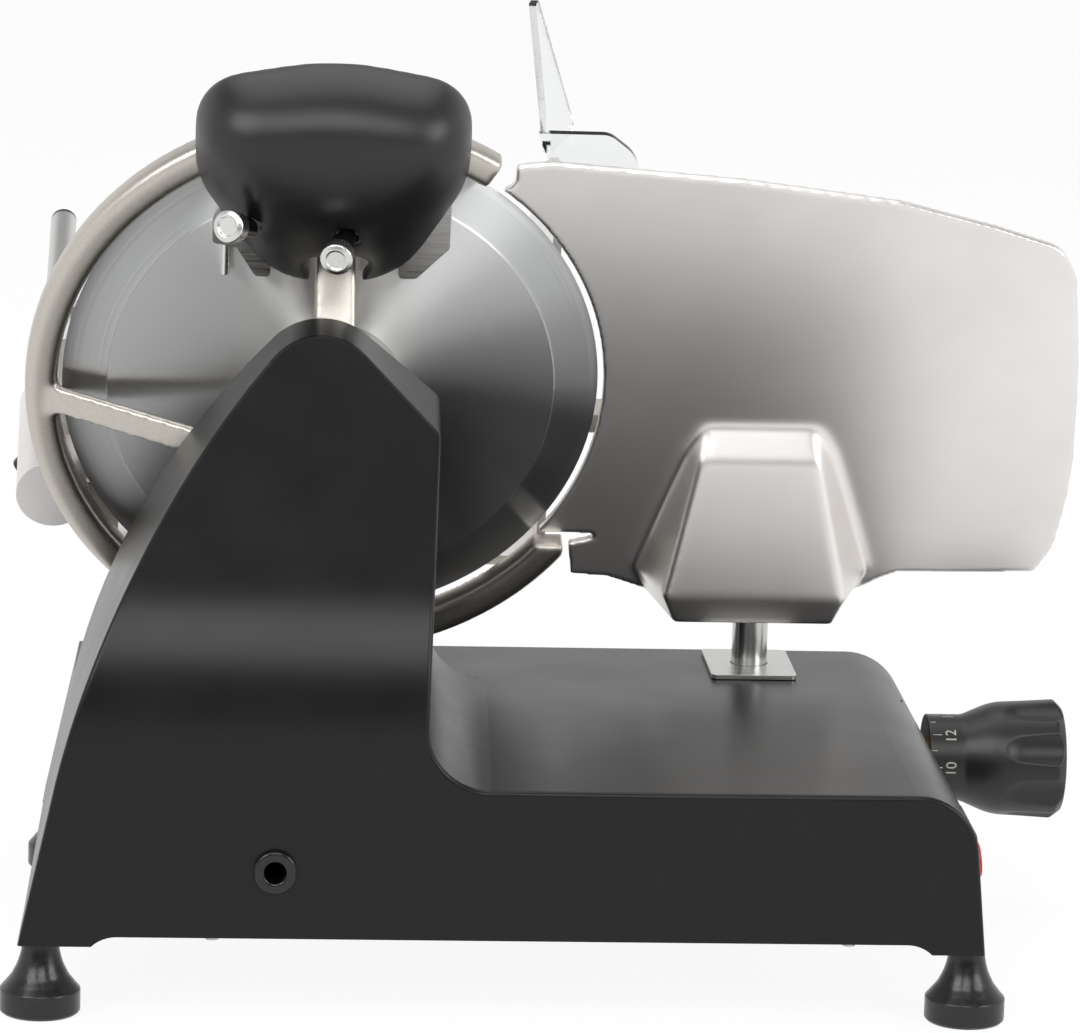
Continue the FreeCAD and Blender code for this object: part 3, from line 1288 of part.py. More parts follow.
guardSheet = extruded("GuardSheet", sheetOutline, guardBack, "guardThick")
guardFin = extruded("GuardFin", [
    ("0", "0"),
    ("44", "-8", "3"),
    ("1.5", "76", "1"),
    ("-3.2", "76", "1"),
], "-guardThick / 2", "guardThick")
finFoot = Vector(size("tableRight - 9"), size("fenceTop + 20"), size(f"{guardBack} + guardThick / 2"))
finSide, finRise = Vector(13.3, 0, -40).normalize(), Vector(-10, 75.6, 0).normalize()
finNormal = finSide.cross(finRise).normalize()
fin = laid(guardFin, Placement(finFoot, Rotation(finSide, finNormal.cross(finSide), finNormal, "ZXY")))
finish("hand_guard", fused("HandGuard", guardSheet, fin), bladeFrame)
gripAt = ("tableRight + 45", "fenceTop - 155", "-90")
grip = turned("GripTurned", [
    ("0", "0"),
    ("gripRadius - 2", "0", "4"),
    ("gripRadius", "gripLength / 2", "90"),
    ("gripRadius - 2", "gripLength", "4"),
    ("0", "gripLength"),
])
gripFrame = Placement(Vector(*[size(a) for a in gripAt]), Rotation(Vector(1, 0, 0), -90))
gripHole = cylinder("GripHole", "gripBar", "gripLength + 2", (0, 0, "-1"))
finish("carriage_handle", cut("CarriageHandle", grip, gripHole), bladeFrame.multiply(gripFrame))
bar = cylinder("GripBarRod", "gripBar", "gripLength + 24", (gripAt[0], f"{gripAt[1]} - 12", gripAt[2]), "y")
arms = [bar]
for name, v in (("Low", f"{gripAt[1]} - 12"), ("High", f"{gripAt[1]} + gripLength + 2")):
    arms.append(block(f"GripArm{name}", "45 + gripBar", "10", "16", ("tableRight", v, f"{gripAt[2]} - 8")))
finish("handle_bracket", fused("HandleBracket", *arms), bladeFrame)

# Food pusher: a rod in two brackets, a sleeve that slides and swings on it, bar and spiked plate
pusherAt = ("pusherX", "pusherV")
rodFar = "tableFar"
rodNear = "(tableNear - 3)"
finish("pusher_rod", cylinder("PusherRod", "pusherRod", f"{rodNear} - ({rodFar})", (*pusherAt, rodFar)),
       bladeFrame)
cheekSide = [
    ("tableLeft", "tableV - tableThick"),
    ("tableLeft", "pusherV + 4"),
    ("pusherX + 8", "pusherV + 7"),
    ("pusherX + 4", "pusherV - 8"),
]
brackets = []
eyeRows = (("Near", "bossRadius", "tableNear - bossLength", "bossLength", "tableNear - 10"),
           ("Far", "farEyeRadius", rodFar, "farEyeLength", rodFar))
for name, radius, start, length, cheekStart in eyeRows:
    eye = cylinder(f"Eye{name}", radius, length, (*pusherAt, start))
    cheek = extruded(f"Cheek{name}", cheekSide, cheekStart, "farEyeLength")
    brackets.append(fused(f"Bracket{name}", eye, cheek))
pusherRoom = cylinder("PusherRoom", "pusherRod", f"{rodNear} - ({rodFar}) + 5",
                      (*pusherAt, f"{rodFar} - 5"))
finish("pusher_brackets", cut("PusherBrackets", fused("PusherBracketPair", *brackets), pusherRoom),
       bladeFrame)
sleeveNear = "(tableNear - bossLength - 3)"
sleeveFar = f"({sleeveNear} - sleeveLength)"
barZ = f"({sleeveNear} - 12)"
sleeve = turned("Sleeve", [
    ("pusherRod + runFit", "0"),
    ("bossRadius", "0", "sleeveEdge"),
    ("bossRadius", "sleeveLength", "sleeveEdge"),
    ("pusherRod + runFit", "sleeveLength"),
])
sleeve = laid(sleeve, Placement(Vector(size("pusherX"), size("pusherV"), size(sleeveFar)), Rotation()))
socket = cylinder("Socket", "socketRadius", "socketTop - pusherV", (*pusherAt, barZ), "y")
sleeveRoom = cylinder("SleeveRoom", "pusherRod + runFit", "sleeveLength + 20",
                      (*pusherAt, f"{sleeveFar} - 10"))
barLies = Rotation(Vector(0, 0, 1), Vector(math.sin(math.radians(size("barLean"))), 0, -1))
barFrame = Placement(Vector(size("pusherX"), size("barV"), size(barZ)), barLies)
bar = finish("pusher_bar", laid(cylinder("PusherBarRod", "barRadius", "barLength"), barFrame), bladeFrame)
sleeve = laid(cut("SleeveBored", fused("SleeveWhole", sleeve, socket), sleeveRoom), bladeFrame)
finish("pusher_sleeve", cut("PusherSleeve", sleeve, bar))
collar = tube("Collar", "bossRadius - 2", "pusherRod + runFit", "collarLength",
              (*pusherAt, f"{sleeveFar} - slideFit - collarLength"))
finish("pusher_collar", collar, bladeFrame)
cap = cylinder("BarCap", "barRadius", "2")
capFrame = barFrame.multiply(Placement(Vector(0, 0, size("barLength")), Rotation()))
finish("pusher_bar_cap", laid(cap, capFrame), bladeFrame)
lockKnob = turned("LockKnobTurned", [
    ("0", "0"),
    ("lockKnobRadius - 1.5", "0"),
    ("lockKnobRadius", "sleeveEdge", "1.5"),
    ("lockKnobRadius", "sleeveEdge + lockKnobLength", "1.5"),
    ("0", "sleeveEdge + lockKnobLength"),
])
lockAngle = math.radians(size("lockKnobTurn"))
lockTurn = Rotation(Vector(0, 0, 1), Vector(math.cos(lockAngle), math.sin(lockAngle), 0))
lockSeat = Vector(size("pusherX"), size("pusherV"), size(f"{sleeveNear} - lockKnobRadius - 1"))
lockFrame = Placement(lockSeat + lockTurn.multVec(Vector(0, 0, size("bossRadius - sleeveEdge"))), lockTurn)
lockTrim = cylinder("KnobTrim", "bossRadius", "sleeveLength", (*pusherAt, sleeveFar))
lockKnob = cut("LockKnobSeated", laid(lockKnob, lockFrame), lockTrim)
finish("pusher_lock_knob", lockKnob, bladeFrame)
plateX = "(pusherX + bossRadius + 2.8)"
plateLow = "(tableV + 11)"
plateZ = "(tableNear - 28)"
board = extruded("PusherBoard", [
    (plateX, plateLow, "6"),
    (f"{plateX} + plateWidth", plateLow, "6"),
    (f"{plateX} + plateWidth", f"{plateLow} + plateHeight", "12"),
    (plateX, f"{plateLow} + plateHeight", "12"),
], plateZ, "plateThick")
arm = block("PusherArm", "bossRadius + 14", "14", f"{plateZ} + plateThick - {barZ} + socketRadius - 2",
            ("pusherX", "pusherV + bossRadius + 1.8", f"{barZ} - socketRadius + 2"))
armTrim = cylinder("ArmTrim", "socketRadius", "socketTop - pusherV + 2", (*pusherAt, barZ), "y")
arm = cut("ArmTrimmed", arm, armTrim)
teeth = []
for row in range(3):
    for column in range(4):
        spot = (f"{plateX} + plateWidth * {0.16 + 0.225 * column}",
                f"{plateLow} + plateHeight * {0.2 + 0.3 * row}",
                f"{plateZ} + plateThick - 0.5")
        teeth.append(cone(f"Tooth{row}{column}", "toothSize", "0.6", "toothSize + 3", spot))
finish("pusher_plate", fused("PusherPlate", board, arm, *teeth), bladeFrame)

# Checks of every object and piece, then the files
doc.recompute()
for thing in doc.Objects:
    assert not {"Invalid", "Error"} & set(thing.State), f"{thing.Name} {thing.State}"
os.makedirs("parts", exist_ok=True)
for label, thing in nodes.items():
    shape = thing.Shape
    assert not shape.isNull() and shape.isValid(), f"{label} has no valid shape"
    assert all(solid.isClosed() for solid in shape.Solids) and shape.Solids, f"{label} isn't closed"
    shape.exportStep(f"parts/{label}.step")
    print(f"{label}: {len(shape.Solids)} solids, {shape.Volume / 1000:.1f} cm3")
print(len(nodes), "pieces")
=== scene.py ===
import math
import bmesh
import bpy
import numpy as np
from mathutils import Matrix, Vector


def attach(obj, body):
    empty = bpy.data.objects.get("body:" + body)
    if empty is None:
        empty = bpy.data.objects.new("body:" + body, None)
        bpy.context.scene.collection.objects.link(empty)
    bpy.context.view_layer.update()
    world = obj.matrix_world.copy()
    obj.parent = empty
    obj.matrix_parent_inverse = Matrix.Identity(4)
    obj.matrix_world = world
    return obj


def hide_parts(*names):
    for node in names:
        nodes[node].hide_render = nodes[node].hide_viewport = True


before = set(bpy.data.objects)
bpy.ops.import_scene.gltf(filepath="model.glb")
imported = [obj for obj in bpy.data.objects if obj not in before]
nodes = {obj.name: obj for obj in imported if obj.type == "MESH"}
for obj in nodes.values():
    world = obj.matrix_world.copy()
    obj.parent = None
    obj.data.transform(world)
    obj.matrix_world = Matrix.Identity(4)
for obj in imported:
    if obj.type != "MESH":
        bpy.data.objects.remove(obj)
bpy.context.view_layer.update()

print("loaded", len(nodes), "nodes")

# The photograph's camera, in metres and degrees
photoCamera = {
    "place": (-0.1757, -2.667, 0.7571),
    "pitch": 11.77,
    "yaw": 4.15,
    "roll": 1.72,
    "lens": 199.7,
    "sensor": 36.0,
    "clipEnd": 30.0,
}


def addCamera(spec):
    pitch, yaw, roll = (math.radians(spec[k]) for k in ("pitch", "yaw", "roll"))
    forward = Vector((math.sin(yaw) * math.cos(pitch), math.cos(yaw) * math.cos(pitch), -math.sin(pitch)))
    level = Vector((math.cos(yaw), -math.sin(yaw), 0.0))
    down = forward.cross(level)
    right = math.cos(roll) * level - math.sin(roll) * down
    up = right.cross(forward)
    data = bpy.data.cameras.new("photoCamera")
    data.lens = spec["lens"]
    data.sensor_width = spec["sensor"]
    data.clip_end = spec["clipEnd"]
    camera = bpy.data.objects.new("photoCamera", data)
    turn = Matrix((right, up, -forward)).transposed().to_4x4()
    camera.matrix_world = Matrix.Translation(Vector(spec["place"])) @ turn
    bpy.context.scene.collection.objects.link(camera)
    bpy.context.scene.camera = camera


addCamera(photoCamera)
print("camera set")


# Colours are sRGB hex, shaders want linear light
def linear(hexColour):
    parts = [int(hexColour[i:i + 2], 16) / 255 for i in (1, 3, 5)]
    return tuple(p / 12.92 if p <= 0.04045 else ((p + 0.055) / 1.055) ** 2.4 for p in parts) + (1.0,)


# One node with its settings (lower case), socket values (upper case or number) and links
def addNode(tree, kind, values=None, links=None):
    node = tree.nodes.new("ShaderNode" + kind)
    for key, value in (values or {}).items():
        if isinstance(key, int) or key[0].isupper():
            node.inputs[key].default_value = value
        else:
            setattr(node, key, value)
    for key, source in (links or {}).items():
        tree.links.new(source, node.inputs[key])
    return node


# One material; an underscore in a socket's name stands for a space
def newMaterial(name, colour, roughness, metallic=0.0, **sockets):
    material = bpy.data.materials.new(name)
    material.use_nodes = True
    shader = material.node_tree.nodes["Principled BSDF"]
    shader.inputs["Base Color"].default_value = linear(colour)
    shader.inputs["Roughness"].default_value = roughness
    shader.inputs["Metallic"].default_value = metallic
    for key, value in sockets.items():
        shader.inputs[key.replace("_", " ")].default_value = value
    return material, material.node_tree, shader


# Object coordinates, in metres
def place(tree, scale=(1, 1, 1), turn=(0, 0, 0)):
    coord = addNode(tree, "TexCoord")
    return addNode(tree, "Mapping", {"Rotation": turn, "Scale": scale},
                   {"Vector": coord.outputs["Object"]}).outputs["Vector"]


def noise(tree, grainMm, where, detail=3.0, rough=0.55):
    return addNode(tree, "TexNoise", {"Scale": 1000 / grainMm, "Detail": detail, "Roughness": rough},
                   {"Vector": where}).outputs["Fac"]


# Noise stays mostly within this span of its 0 to 1
noiseSpan = (0.3, 0.7)


def spread(tree, fac, low, high):
    return addNode(tree, "MapRange", {"From Min": noiseSpan[0], "From Max": noiseSpan[1], "To Min": low,
                                      "To Max": high}, {"Value": fac}).outputs["Result"]


def roughened(tree, shader, fac, low, high):
    tree.links.new(spread(tree, fac, low, high), shader.inputs["Roughness"])


def coloured(tree, shader, fac, dark, light, span=noiseSpan):
    band = addNode(tree, "ValToRGB", links={"Fac": fac})
    for stop, position, colour in zip(band.color_ramp.elements, span, (dark, light)):
        stop.position = position
        stop.color = linear(colour)
    tree.links.new(band.outputs["Color"], shader.inputs["Base Color"])


def relief(tree, shader, height, depthMm, strength, edgeMm=0.0):
    links = {"Height": height}
    if edgeMm:
        links["Normal"] = addNode(tree, "Bevel", {"samples": 4, "Radius": edgeMm / 1000}).outputs["Normal"]
    bump = addNode(tree, "Bump", {"Strength": strength, "Distance": depthMm / 1000}, links)
    tree.links.new(bump.outputs["Normal"], shader.inputs["Normal"])


# Stove enamel sprayed on a die casting: satin black, faint orange peel, edges rounded by the paint
enamel = {"colour": "#0a0a0b", "worn": "#0e0e0f", "roughness": 0.31, "uneven": 0.02, "specular": 0.29,
          "patchMm": 38.0, "peelMm": 1.6, "depthMm": 0.018, "edgeMm": 0.9}


def enamelledCasting():
    m, tree, shader = newMaterial("enamelledCasting", enamel["colour"], enamel["roughness"],
                                  Specular_IOR_Level=enamel["specular"])
    where = place(tree)
    patch = noise(tree, enamel["patchMm"], where, detail=4.0)
    coloured(tree, shader, patch, enamel["colour"], enamel["worn"])
    roughened(tree, shader, patch, enamel["roughness"] - enamel["uneven"],
              enamel["roughness"] + enamel["uneven"])
    peel = noise(tree, enamel["peelMm"], where, detail=2.0)
    relief(tree, shader, peel, enamel["depthMm"], strength=0.6, edgeMm=enamel["edgeMm"])
    return m


# Sand-cast aluminium, fettled: warm grey with a faint grain and a soft sheen. The real 0.3 mm grain is
# drawn at 1.3 mm
sandCast = {"dark": "#bdb8b0", "light": "#c8c3bb", "roughness": 0.34, "smoother": 0.03, "rougher": 0.04,
            "grainMm": 1.3, "depthMm": 0.012, "edgeMm": 1.2}


def sandCastAluminium():
    m, tree, shader = newMaterial("sandCastAluminium", sandCast["light"], sandCast["roughness"], 1.0)
    grain = noise(tree, sandCast["grainMm"], place(tree), detail=5.0, rough=0.6)
    coloured(tree, shader, grain, sandCast["dark"], sandCast["light"])
    roughened(tree, shader, grain, sandCast["roughness"] - sandCast["smoother"],
              sandCast["roughness"] + sandCast["rougher"])
    relief(tree, shader, grain, sandCast["depthMm"], strength=0.6, edgeMm=sandCast["edgeMm"])
    return m


# Cast aluminium, linished and anodised: silky pale grey with long soft reflections
anodised = {"dark": "#e2dfdc", "light": "#ebe8e6", "roughness": 0.35, "uneven": 0.03, "cloudMm": 60.0,
            "grainMm": 0.6, "depthMm": 0.004, "edgeMm": 0.5}


def satinAnodisedAluminium():
    m, tree, shader = newMaterial("satinAnodisedAluminium", anodised["light"], anodised["roughness"], 1.0)
    where = place(tree)
    grain = noise(tree, anodised["grainMm"], where, detail=2.0)
    cloud = noise(tree, anodised["cloudMm"], where, detail=2.0)
    coloured(tree, shader, cloud, anodised["dark"], anodised["light"])
    roughened(tree, shader, grain, anodised["roughness"] - anodised["uneven"],
              anodised["roughness"] + anodised["uneven"])
    relief(tree, shader, grain, anodised["depthMm"], strength=0.4, edgeMm=anodised["edgeMm"])
    return m


# Hardened chrome steel, ground in rings and polished: reflections drawn out into wedges across the
# rings, and a duller bevel outside the step
bladeLook = {"colour": "#eceded", "bevel": "#d6d7d8", "centre": (-0.076, 0.085, 0.2455), "leanDegrees": 18.5,
             "stepMm": 104.0, "stepWideMm": 0.6, "ringMm": 1.2, "polish": 0.37, "ground": 0.39,
             "smoother": 0.02, "rougher": 0.03, "anisotropy": 1.0}
lean = math.radians(bladeLook["leanDegrees"])


def fromBladeCentre(tree, spot):
    return addNode(tree, "VectorMath", {"operation": "SUBTRACT", 1: bladeLook["centre"]},
                   {0: spot}).outputs["Vector"]


def polishedBladeSteel():
    m, tree, shader = newMaterial("polishedBladeSteel", bladeLook["colour"], bladeLook["polish"], 1.0,
                                  Anisotropic=bladeLook["anisotropy"])
    moved = fromBladeCentre(tree, addNode(tree, "TexCoord").outputs["Object"])
    radius = addNode(tree, "VectorMath", {"operation": "LENGTH"}, {0: moved}).outputs["Value"]
    rings = addNode(tree, "TexNoise", {"noise_dimensions": "1D", "Scale": 1000 / bladeLook["ringMm"],
                                       "Detail": 3.0}, {"W": radius}).outputs["Fac"]
    step = bladeLook["stepMm"] / 1000
    outer = addNode(tree, "MapRange", {"From Min": step, "From Max": step + bladeLook["stepWideMm"] / 1000},
                    {"Value": radius}).outputs["Result"]
    coloured(tree, shader, outer, bladeLook["colour"], bladeLook["bevel"], span=(0.0, 1.0))
    polish = spread(tree, rings, bladeLook["polish"] - bladeLook["smoother"],
                    bladeLook["polish"] + bladeLook["rougher"])
    rougher = addNode(tree, "Math", {"operation": "MULTIPLY_ADD", 1: bladeLook["ground"] - bladeLook["polish"]},
                      {0: outer, 2: polish})
    tree.links.new(rougher.outputs["Value"], shader.inputs["Roughness"])
    outward = fromBladeCentre(tree, addNode(tree, "NewGeometry").outputs["Position"])
    outward = addNode(tree, "VectorMath", {"operation": "NORMALIZE"}, {0: outward})
    tree.links.new(outward.outputs["Vector"], shader.inputs["Tangent"])
    return m


# Stainless sheet, belt brushed along the stroke: fine long streaks and a stretched highlight
brushed = {"colour": "#c6c6c3", "dark": "#b4b4b1", "light": "#d2d2cf", "roughness": 0.3,
           "stretch": (0.02, 1, 1), "lineMm": 0.45, "depthMm": 0.01, "edgeMm": 0.3}


def brushedStainless():
    m, tree, shader = newMaterial("brushedStainless", brushed["colour"], brushed["roughness"], 1.0)
    lines = noise(tree, brushed["lineMm"], place(tree, brushed["stretch"]), detail=4.0)
    coloured(tree, shader, lines, brushed["dark"], brushed["light"])
    roughened(tree, shader, lines, low=0.24, high=0.38)
    relief(tree, shader, lines, brushed["depthMm"], strength=0.6, edgeMm=brushed["edgeMm"])
    return m


# Bar ground between centres: bright, with faint grinding marks. Marks of 0.05 mm are drawn at 0.6 mm
def groundSteel():
    m, tree, shader = newMaterial("groundSteel", "#c4c3c1", 0.2, 1.0)
    marks = noise(tree, 0.6, place(tree), detail=2.0)
    roughened(tree, shader, marks, low=0.15, high=0.27)
    relief(tree, shader, marks, depthMm=0.003, strength=0.4, edgeMm=0.3)
    return m


# ABS moulded in a spark-eroded tool: near black, fine leathery grain, soft sheen
def mouldedAbs():
    m, tree, shader = newMaterial("mouldedAbs", "#121213", 0.36)
    where = place(tree)
    grain = noise(tree, 0.5, where, detail=2.0)
    coloured(tree, shader, noise(tree, 25.0, where), "#101011", "#141415")
    roughened(tree, shader, grain, low=0.35, high=0.42)
    relief(tree, shader, grain, depthMm=0.012, strength=0.4, edgeMm=0.5)
    return m


# Phenolic moulded in a polished tool: deep black, crisp highlights, faint sink marks
def glossyMoulding():
    m, tree, shader = newMaterial("glossyMoulding", "#0d0d0e", 0.12)
    where = place(tree)
    sinks = noise(tree, 14.0, where, detail=2.0)
    roughened(tree, shader, noise(tree, 3.0, where), low=0.11, high=0.2)
    relief(tree, shader, sinks, depthMm=0.05, strength=0.25, edgeMm=0.5)
    return m


# Polycarbonate sheet, press polished: clear, slightly grey. Its IOR, really 1.58, is lowered so that the
# sheet's edges don't go black
def clearPolycarbonate():
    m, tree, shader = newMaterial("clearPolycarbonate", "#f4f6f6", 0.03, 0.0, IOR=1.38,
                                  Transmission_Weight=1.0)
    roughened(tree, shader, noise(tree, 9.0, place(tree)), low=0.02, high=0.06)
    return m


# Nitrile rubber from a polished mould: black, slightly waxy shine
def rubberFoot():
    m, tree, shader = newMaterial("rubberFoot", "#101011", 0.26)
    where = place(tree)
    coloured(tree, shader, noise(tree, 8.0, where), "#0e0e0f", "#151516")
    roughened(tree, shader, noise(tree, 2.5, where), low=0.2, high=0.34)
    relief(tree, shader, noise(tree, 1.2, where, detail=2.0), depthMm=0.02, strength=0.3, edgeMm=0.4)
    return m


# Nylon push caps moulded in their own colour: even, low shine
def mouldedCap(name, dark, light):
    m, tree, shader = newMaterial(name, light, 0.3, 0.0, Subsurface_Weight=0.05, Subsurface_Scale=0.001)
    where = place(tree)
    coloured(tree, shader, noise(tree, 6.0, where), dark, light)
    relief(tree, shader, noise(tree, 0.6, where, detail=2.0), depthMm=0.01, strength=0.4, edgeMm=0.4)
    return m


# Sintered bronze: dull gold, pinhole pores that hold the oil
def sinteredBronze():
    m, tree, shader = newMaterial("sinteredBronze", "#a9844c", 0.42, 1.0)
    pores = addNode(tree, "TexVoronoi", {"Scale": 1000 / 0.9}, {"Vector": place(tree)}).outputs["Distance"]
    coloured(tree, shader, pores, "#5d4526", "#b08c54", span=(0.08, 0.3))
    relief(tree, shader, pores, depthMm=0.03, strength=0.4)
    return m


# Zinc plate on steel, passivated: cool grey with a faint spangle
def zincPlate():
    m, tree, shader = newMaterial("zincPlate", "#b3b7ba", 0.34, 1.0)
    spangle = noise(tree, 1.8, place(tree))
    coloured(tree, shader, spangle, "#9fa3a5", "#c3c7c9")
    roughened(tree, shader, spangle, low=0.28, high=0.42)
    return m


# Aluminium turned and milled from a casting: clean grey with tool lines. 0.1 mm lines are drawn at 0.7 mm
def machinedAluminium():
    m, tree, shader = newMaterial("machinedAluminium", "#bcbab7", 0.33, 1.0)
    lines = noise(tree, 0.7, place(tree, scale=(0.05, 1, 1)))
    coloured(tree, shader, lines, "#a9a7a4", "#c8c6c3")
    roughened(tree, shader, lines, low=0.27, high=0.42)
    relief(tree, shader, lines, depthMm=0.01, strength=0.5, edgeMm=0.4)
    return m


# Steel cap turned, then satin polished: bright silver, crisp rim
def turnedCap():
    m, tree, shader = newMaterial("turnedCap", "#d6d5d3", 0.26, 1.0)
    marks = noise(tree, 0.5, place(tree))
    roughened(tree, shader, marks, low=0.2, high=0.34)
    relief(tree, shader, marks, depthMm=0.004, strength=0.5, edgeMm=0.3)
    return m


# Vitrified abrasive: grey-brown grit, matt. Grit of 0.15 mm is drawn at 0.5 mm
def abrasiveStone():
    m, tree, shader = newMaterial("abrasiveStone", "#6d665d", 0.9)
    grit = addNode(tree, "TexVoronoi", {"Scale": 1000 / 0.5}, {"Vector": place(tree)}).outputs["Distance"]
    coloured(tree, shader, grit, "#3f3a34", "#948b7f", span=(0.1, 0.6))
    relief(tree, shader, grit, depthMm=0.12, strength=0.8)
    return m


# Polychloroprene belt with ribs: black, a little dusty
def ribbedBelt():
    m, tree, shader = newMaterial("ribbedBelt", "#1b1b1c", 0.7)
    dust = noise(tree, 2.0, place(tree), detail=4.0)
    coloured(tree, shader, dust, "#151516", "#2b2a29")
    relief(tree, shader, dust, depthMm=0.05, strength=0.5)
    return m


# Pressed steel motor shell, air-dried paint: mid grey, thin orange peel
def paintedMotor():
    m, tree, shader = newMaterial("paintedMotor", "#4b4e51", 0.42)
    where = place(tree)
    coloured(tree, shader, noise(tree, 20.0, where), "#45484b", "#54575a")
    relief(tree, shader, noise(tree, 1.4, where, detail=2.0), depthMm=0.03, strength=0.4, edgeMm=0.6)
    return m


# Punched laminations stacked and varnished: dark steel with 0.5 mm sheets seen as lines. A wave of
# scale 1 is 1 / 6.28 m long
def laminations():
    m, tree, shader = newMaterial("laminations", "#5b5956", 0.5, 1.0)
    stack = addNode(tree, "TexWave", {"bands_direction": "Y", "Scale": 1000 / 0.5 / 6.28, "Distortion": 0.0},
                    {"Vector": place(tree, turn=(-lean, 0, 0))}).outputs["Fac"]
    coloured(tree, shader, stack, "#3a3835", "#6d6a66")
    relief(tree, shader, stack, depthMm=0.05, strength=0.5)
    return m


finishes = {
    "enamelledCasting": (enamelledCasting(), ["base_casting"]),
    "sandCastAluminium": (sandCastAluminium(), [
        "blade_guard_ring", "carriage_mounts", "handle_bracket", "carriage_shoe"]),
    "satinAnodisedAluminium": (satinAnodisedAluminium(), [
        "gauge_plate", "food_table", "table_fence", "pusher_brackets", "pusher_sleeve", "pusher_plate"]),
    "polishedBladeSteel": (polishedBladeSteel(), ["blade"]),
    "brushedStainless": (brushedStainless(), ["slot_cover", "blade_cover", "bottom_cover"]),
    "groundSteel": (groundSteel(), [
        "gauge_post", "gauge_guide_rods", "carriage_rod", "pusher_rod", "pusher_bar", "spindle_axle",
        "blade_bearings"]),
    "mouldedAbs": (mouldedAbs(), [
        "sharpener_cover", "carriage_handle", "switch_bezel", "switch_block", "pusher_collar", "driven_pulley",
        "motor_capacitor", "scroll_shaft"]),
    "glossyMoulding": (glossyMoulding(), [
        "thickness_knob", "cable_gland", "pusher_lock_knob", "pusher_bar_cap", "sharpen_button_stem",
        "deburr_button_stem"]),
    "clearPolycarbonate": (clearPolycarbonate(), ["hand_guard"]),
    "rubberFoot": (rubberFoot(), ["feet"]),
    "startCap": (mouldedCap("startCap", "#1f6b33", "#2a8140"), ["start_button"]),
    "stopCap": (mouldedCap("stopCap", "#9c1812", "#b8221a"), ["stop_button"]),
    "sinteredBronze": (sinteredBronze(), ["knob_bushing", "gauge_slide_fittings", "shoe_bushes"]),
    "zincPlate": (zincPlate(), ["base_screws", "blade_screws", "tower_screws", "spindle_fasteners"]),
    "machinedAluminium": (machinedAluminium(), ["blade_hub", "sharpener_body", "gauge_slide_block"]),
    "turnedCap": (turnedCap(), ["sharpen_button", "deburr_button", "sharpener_lock_pin"]),
    "abrasiveStone": (abrasiveStone(), ["sharpening_stone", "deburring_stone"]),
    "ribbedBelt": (ribbedBelt(), ["drive_belt"]),
    "paintedMotor": (paintedMotor(), ["motor_housing", "motor_end_cap"]),
    "laminations": (laminations(), ["motor_rotor", "motor_stator"]),
}
for material, members in finishes.values():
    for name in members:
        for holder in nodes[name].material_slots:
            holder.material = material
bare = sorted(set(nodes) - {n for _, members in finishes.values() for n in members})
print("finishes on all nodes but", bare)


def newPiece(name, bm, material, body, replaced=()):
    mesh = bpy.data.meshes.new(name)
    bm.to_mesh(mesh)
    bm.free()
    for face in mesh.polygons:
        face.use_smooth = True
    piece = bpy.data.objects.new(name, mesh)
    bpy.context.scene.collection.objects.link(piece)
    mesh.materials.append(material)
    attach(piece, body)
    if replaced:
        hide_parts(*replaced)
    return piece


# Corners of a profile rounded: each corner is (radius, along, round), all in mm
def roundedProfile(corners, steps=6):
    points = []
    for i, corner in enumerate(corners):
        here, size = Vector(corner[:2]), corner[2] if len(corner) > 2 else 0.0
        if not size or i in (0, len(corners) - 1):
            points.append(here)
            continue
        before, after = Vector(corners[i - 1][:2]) - here, Vector(corners[i + 1][:2]) - here
        bend = before.angle(after)
        reach = min(size / math.tan(bend / 2), before.length * 0.49, after.length * 0.49)
        start, end = here + before.normalized() * reach, here + after.normalized() * reach
        for k in range(steps + 1):
            t = k / steps
            points.append(start.lerp(here, t).lerp(here.lerp(end, t), t))
    return points


# A lathed shell round local Z; shape(radius, along, angle) may change the radius
def lathe(profile, matrix, around=96, shape=None):
    bm = bmesh.new()
    rings = []
    for radius, along in profile:
        ring = []
        for k in range(around if radius > 0.001 else 1):
            angle = 2 * math.pi * k / around
            r = shape(radius, along, angle) if shape else radius
            point = Vector((r * math.cos(angle), r * math.sin(angle), along)) / 1000
            ring.append(bm.verts.new(matrix @ point))
        rings.append(ring)
    for low, high in zip(rings, rings[1:]):
        for k in range(around):
            corners = [low[k % len(low)], low[(k + 1) % len(low)],
                       high[(k + 1) % len(high)], high[k % len(high)]]
            bm.faces.new(list(dict.fromkeys(corners)))
    bmesh.ops.recalc_face_normals(bm, faces=bm.faces)
    return bm


# The same line with no stretch longer than step
def divided(points, step):
    dense = [points[0]]
    for here, there in zip(points, points[1:]):
        count = max(1, math.ceil((there - here).length / step))
        dense += [here.lerp(there, k / count) for k in range(1, count + 1)]
    return dense


# The leaning frame of the blade: x along the stroke, y up the blade, z out of its face
bladeFrame = Matrix(((1, 0, 0), (0, -math.sin(lean), math.cos(lean)), (0, -math.cos(lean), -math.sin(lean))))
bladeFrame = Matrix.Translation(bladeLook["centre"]) @ bladeFrame.transposed().to_4x4()


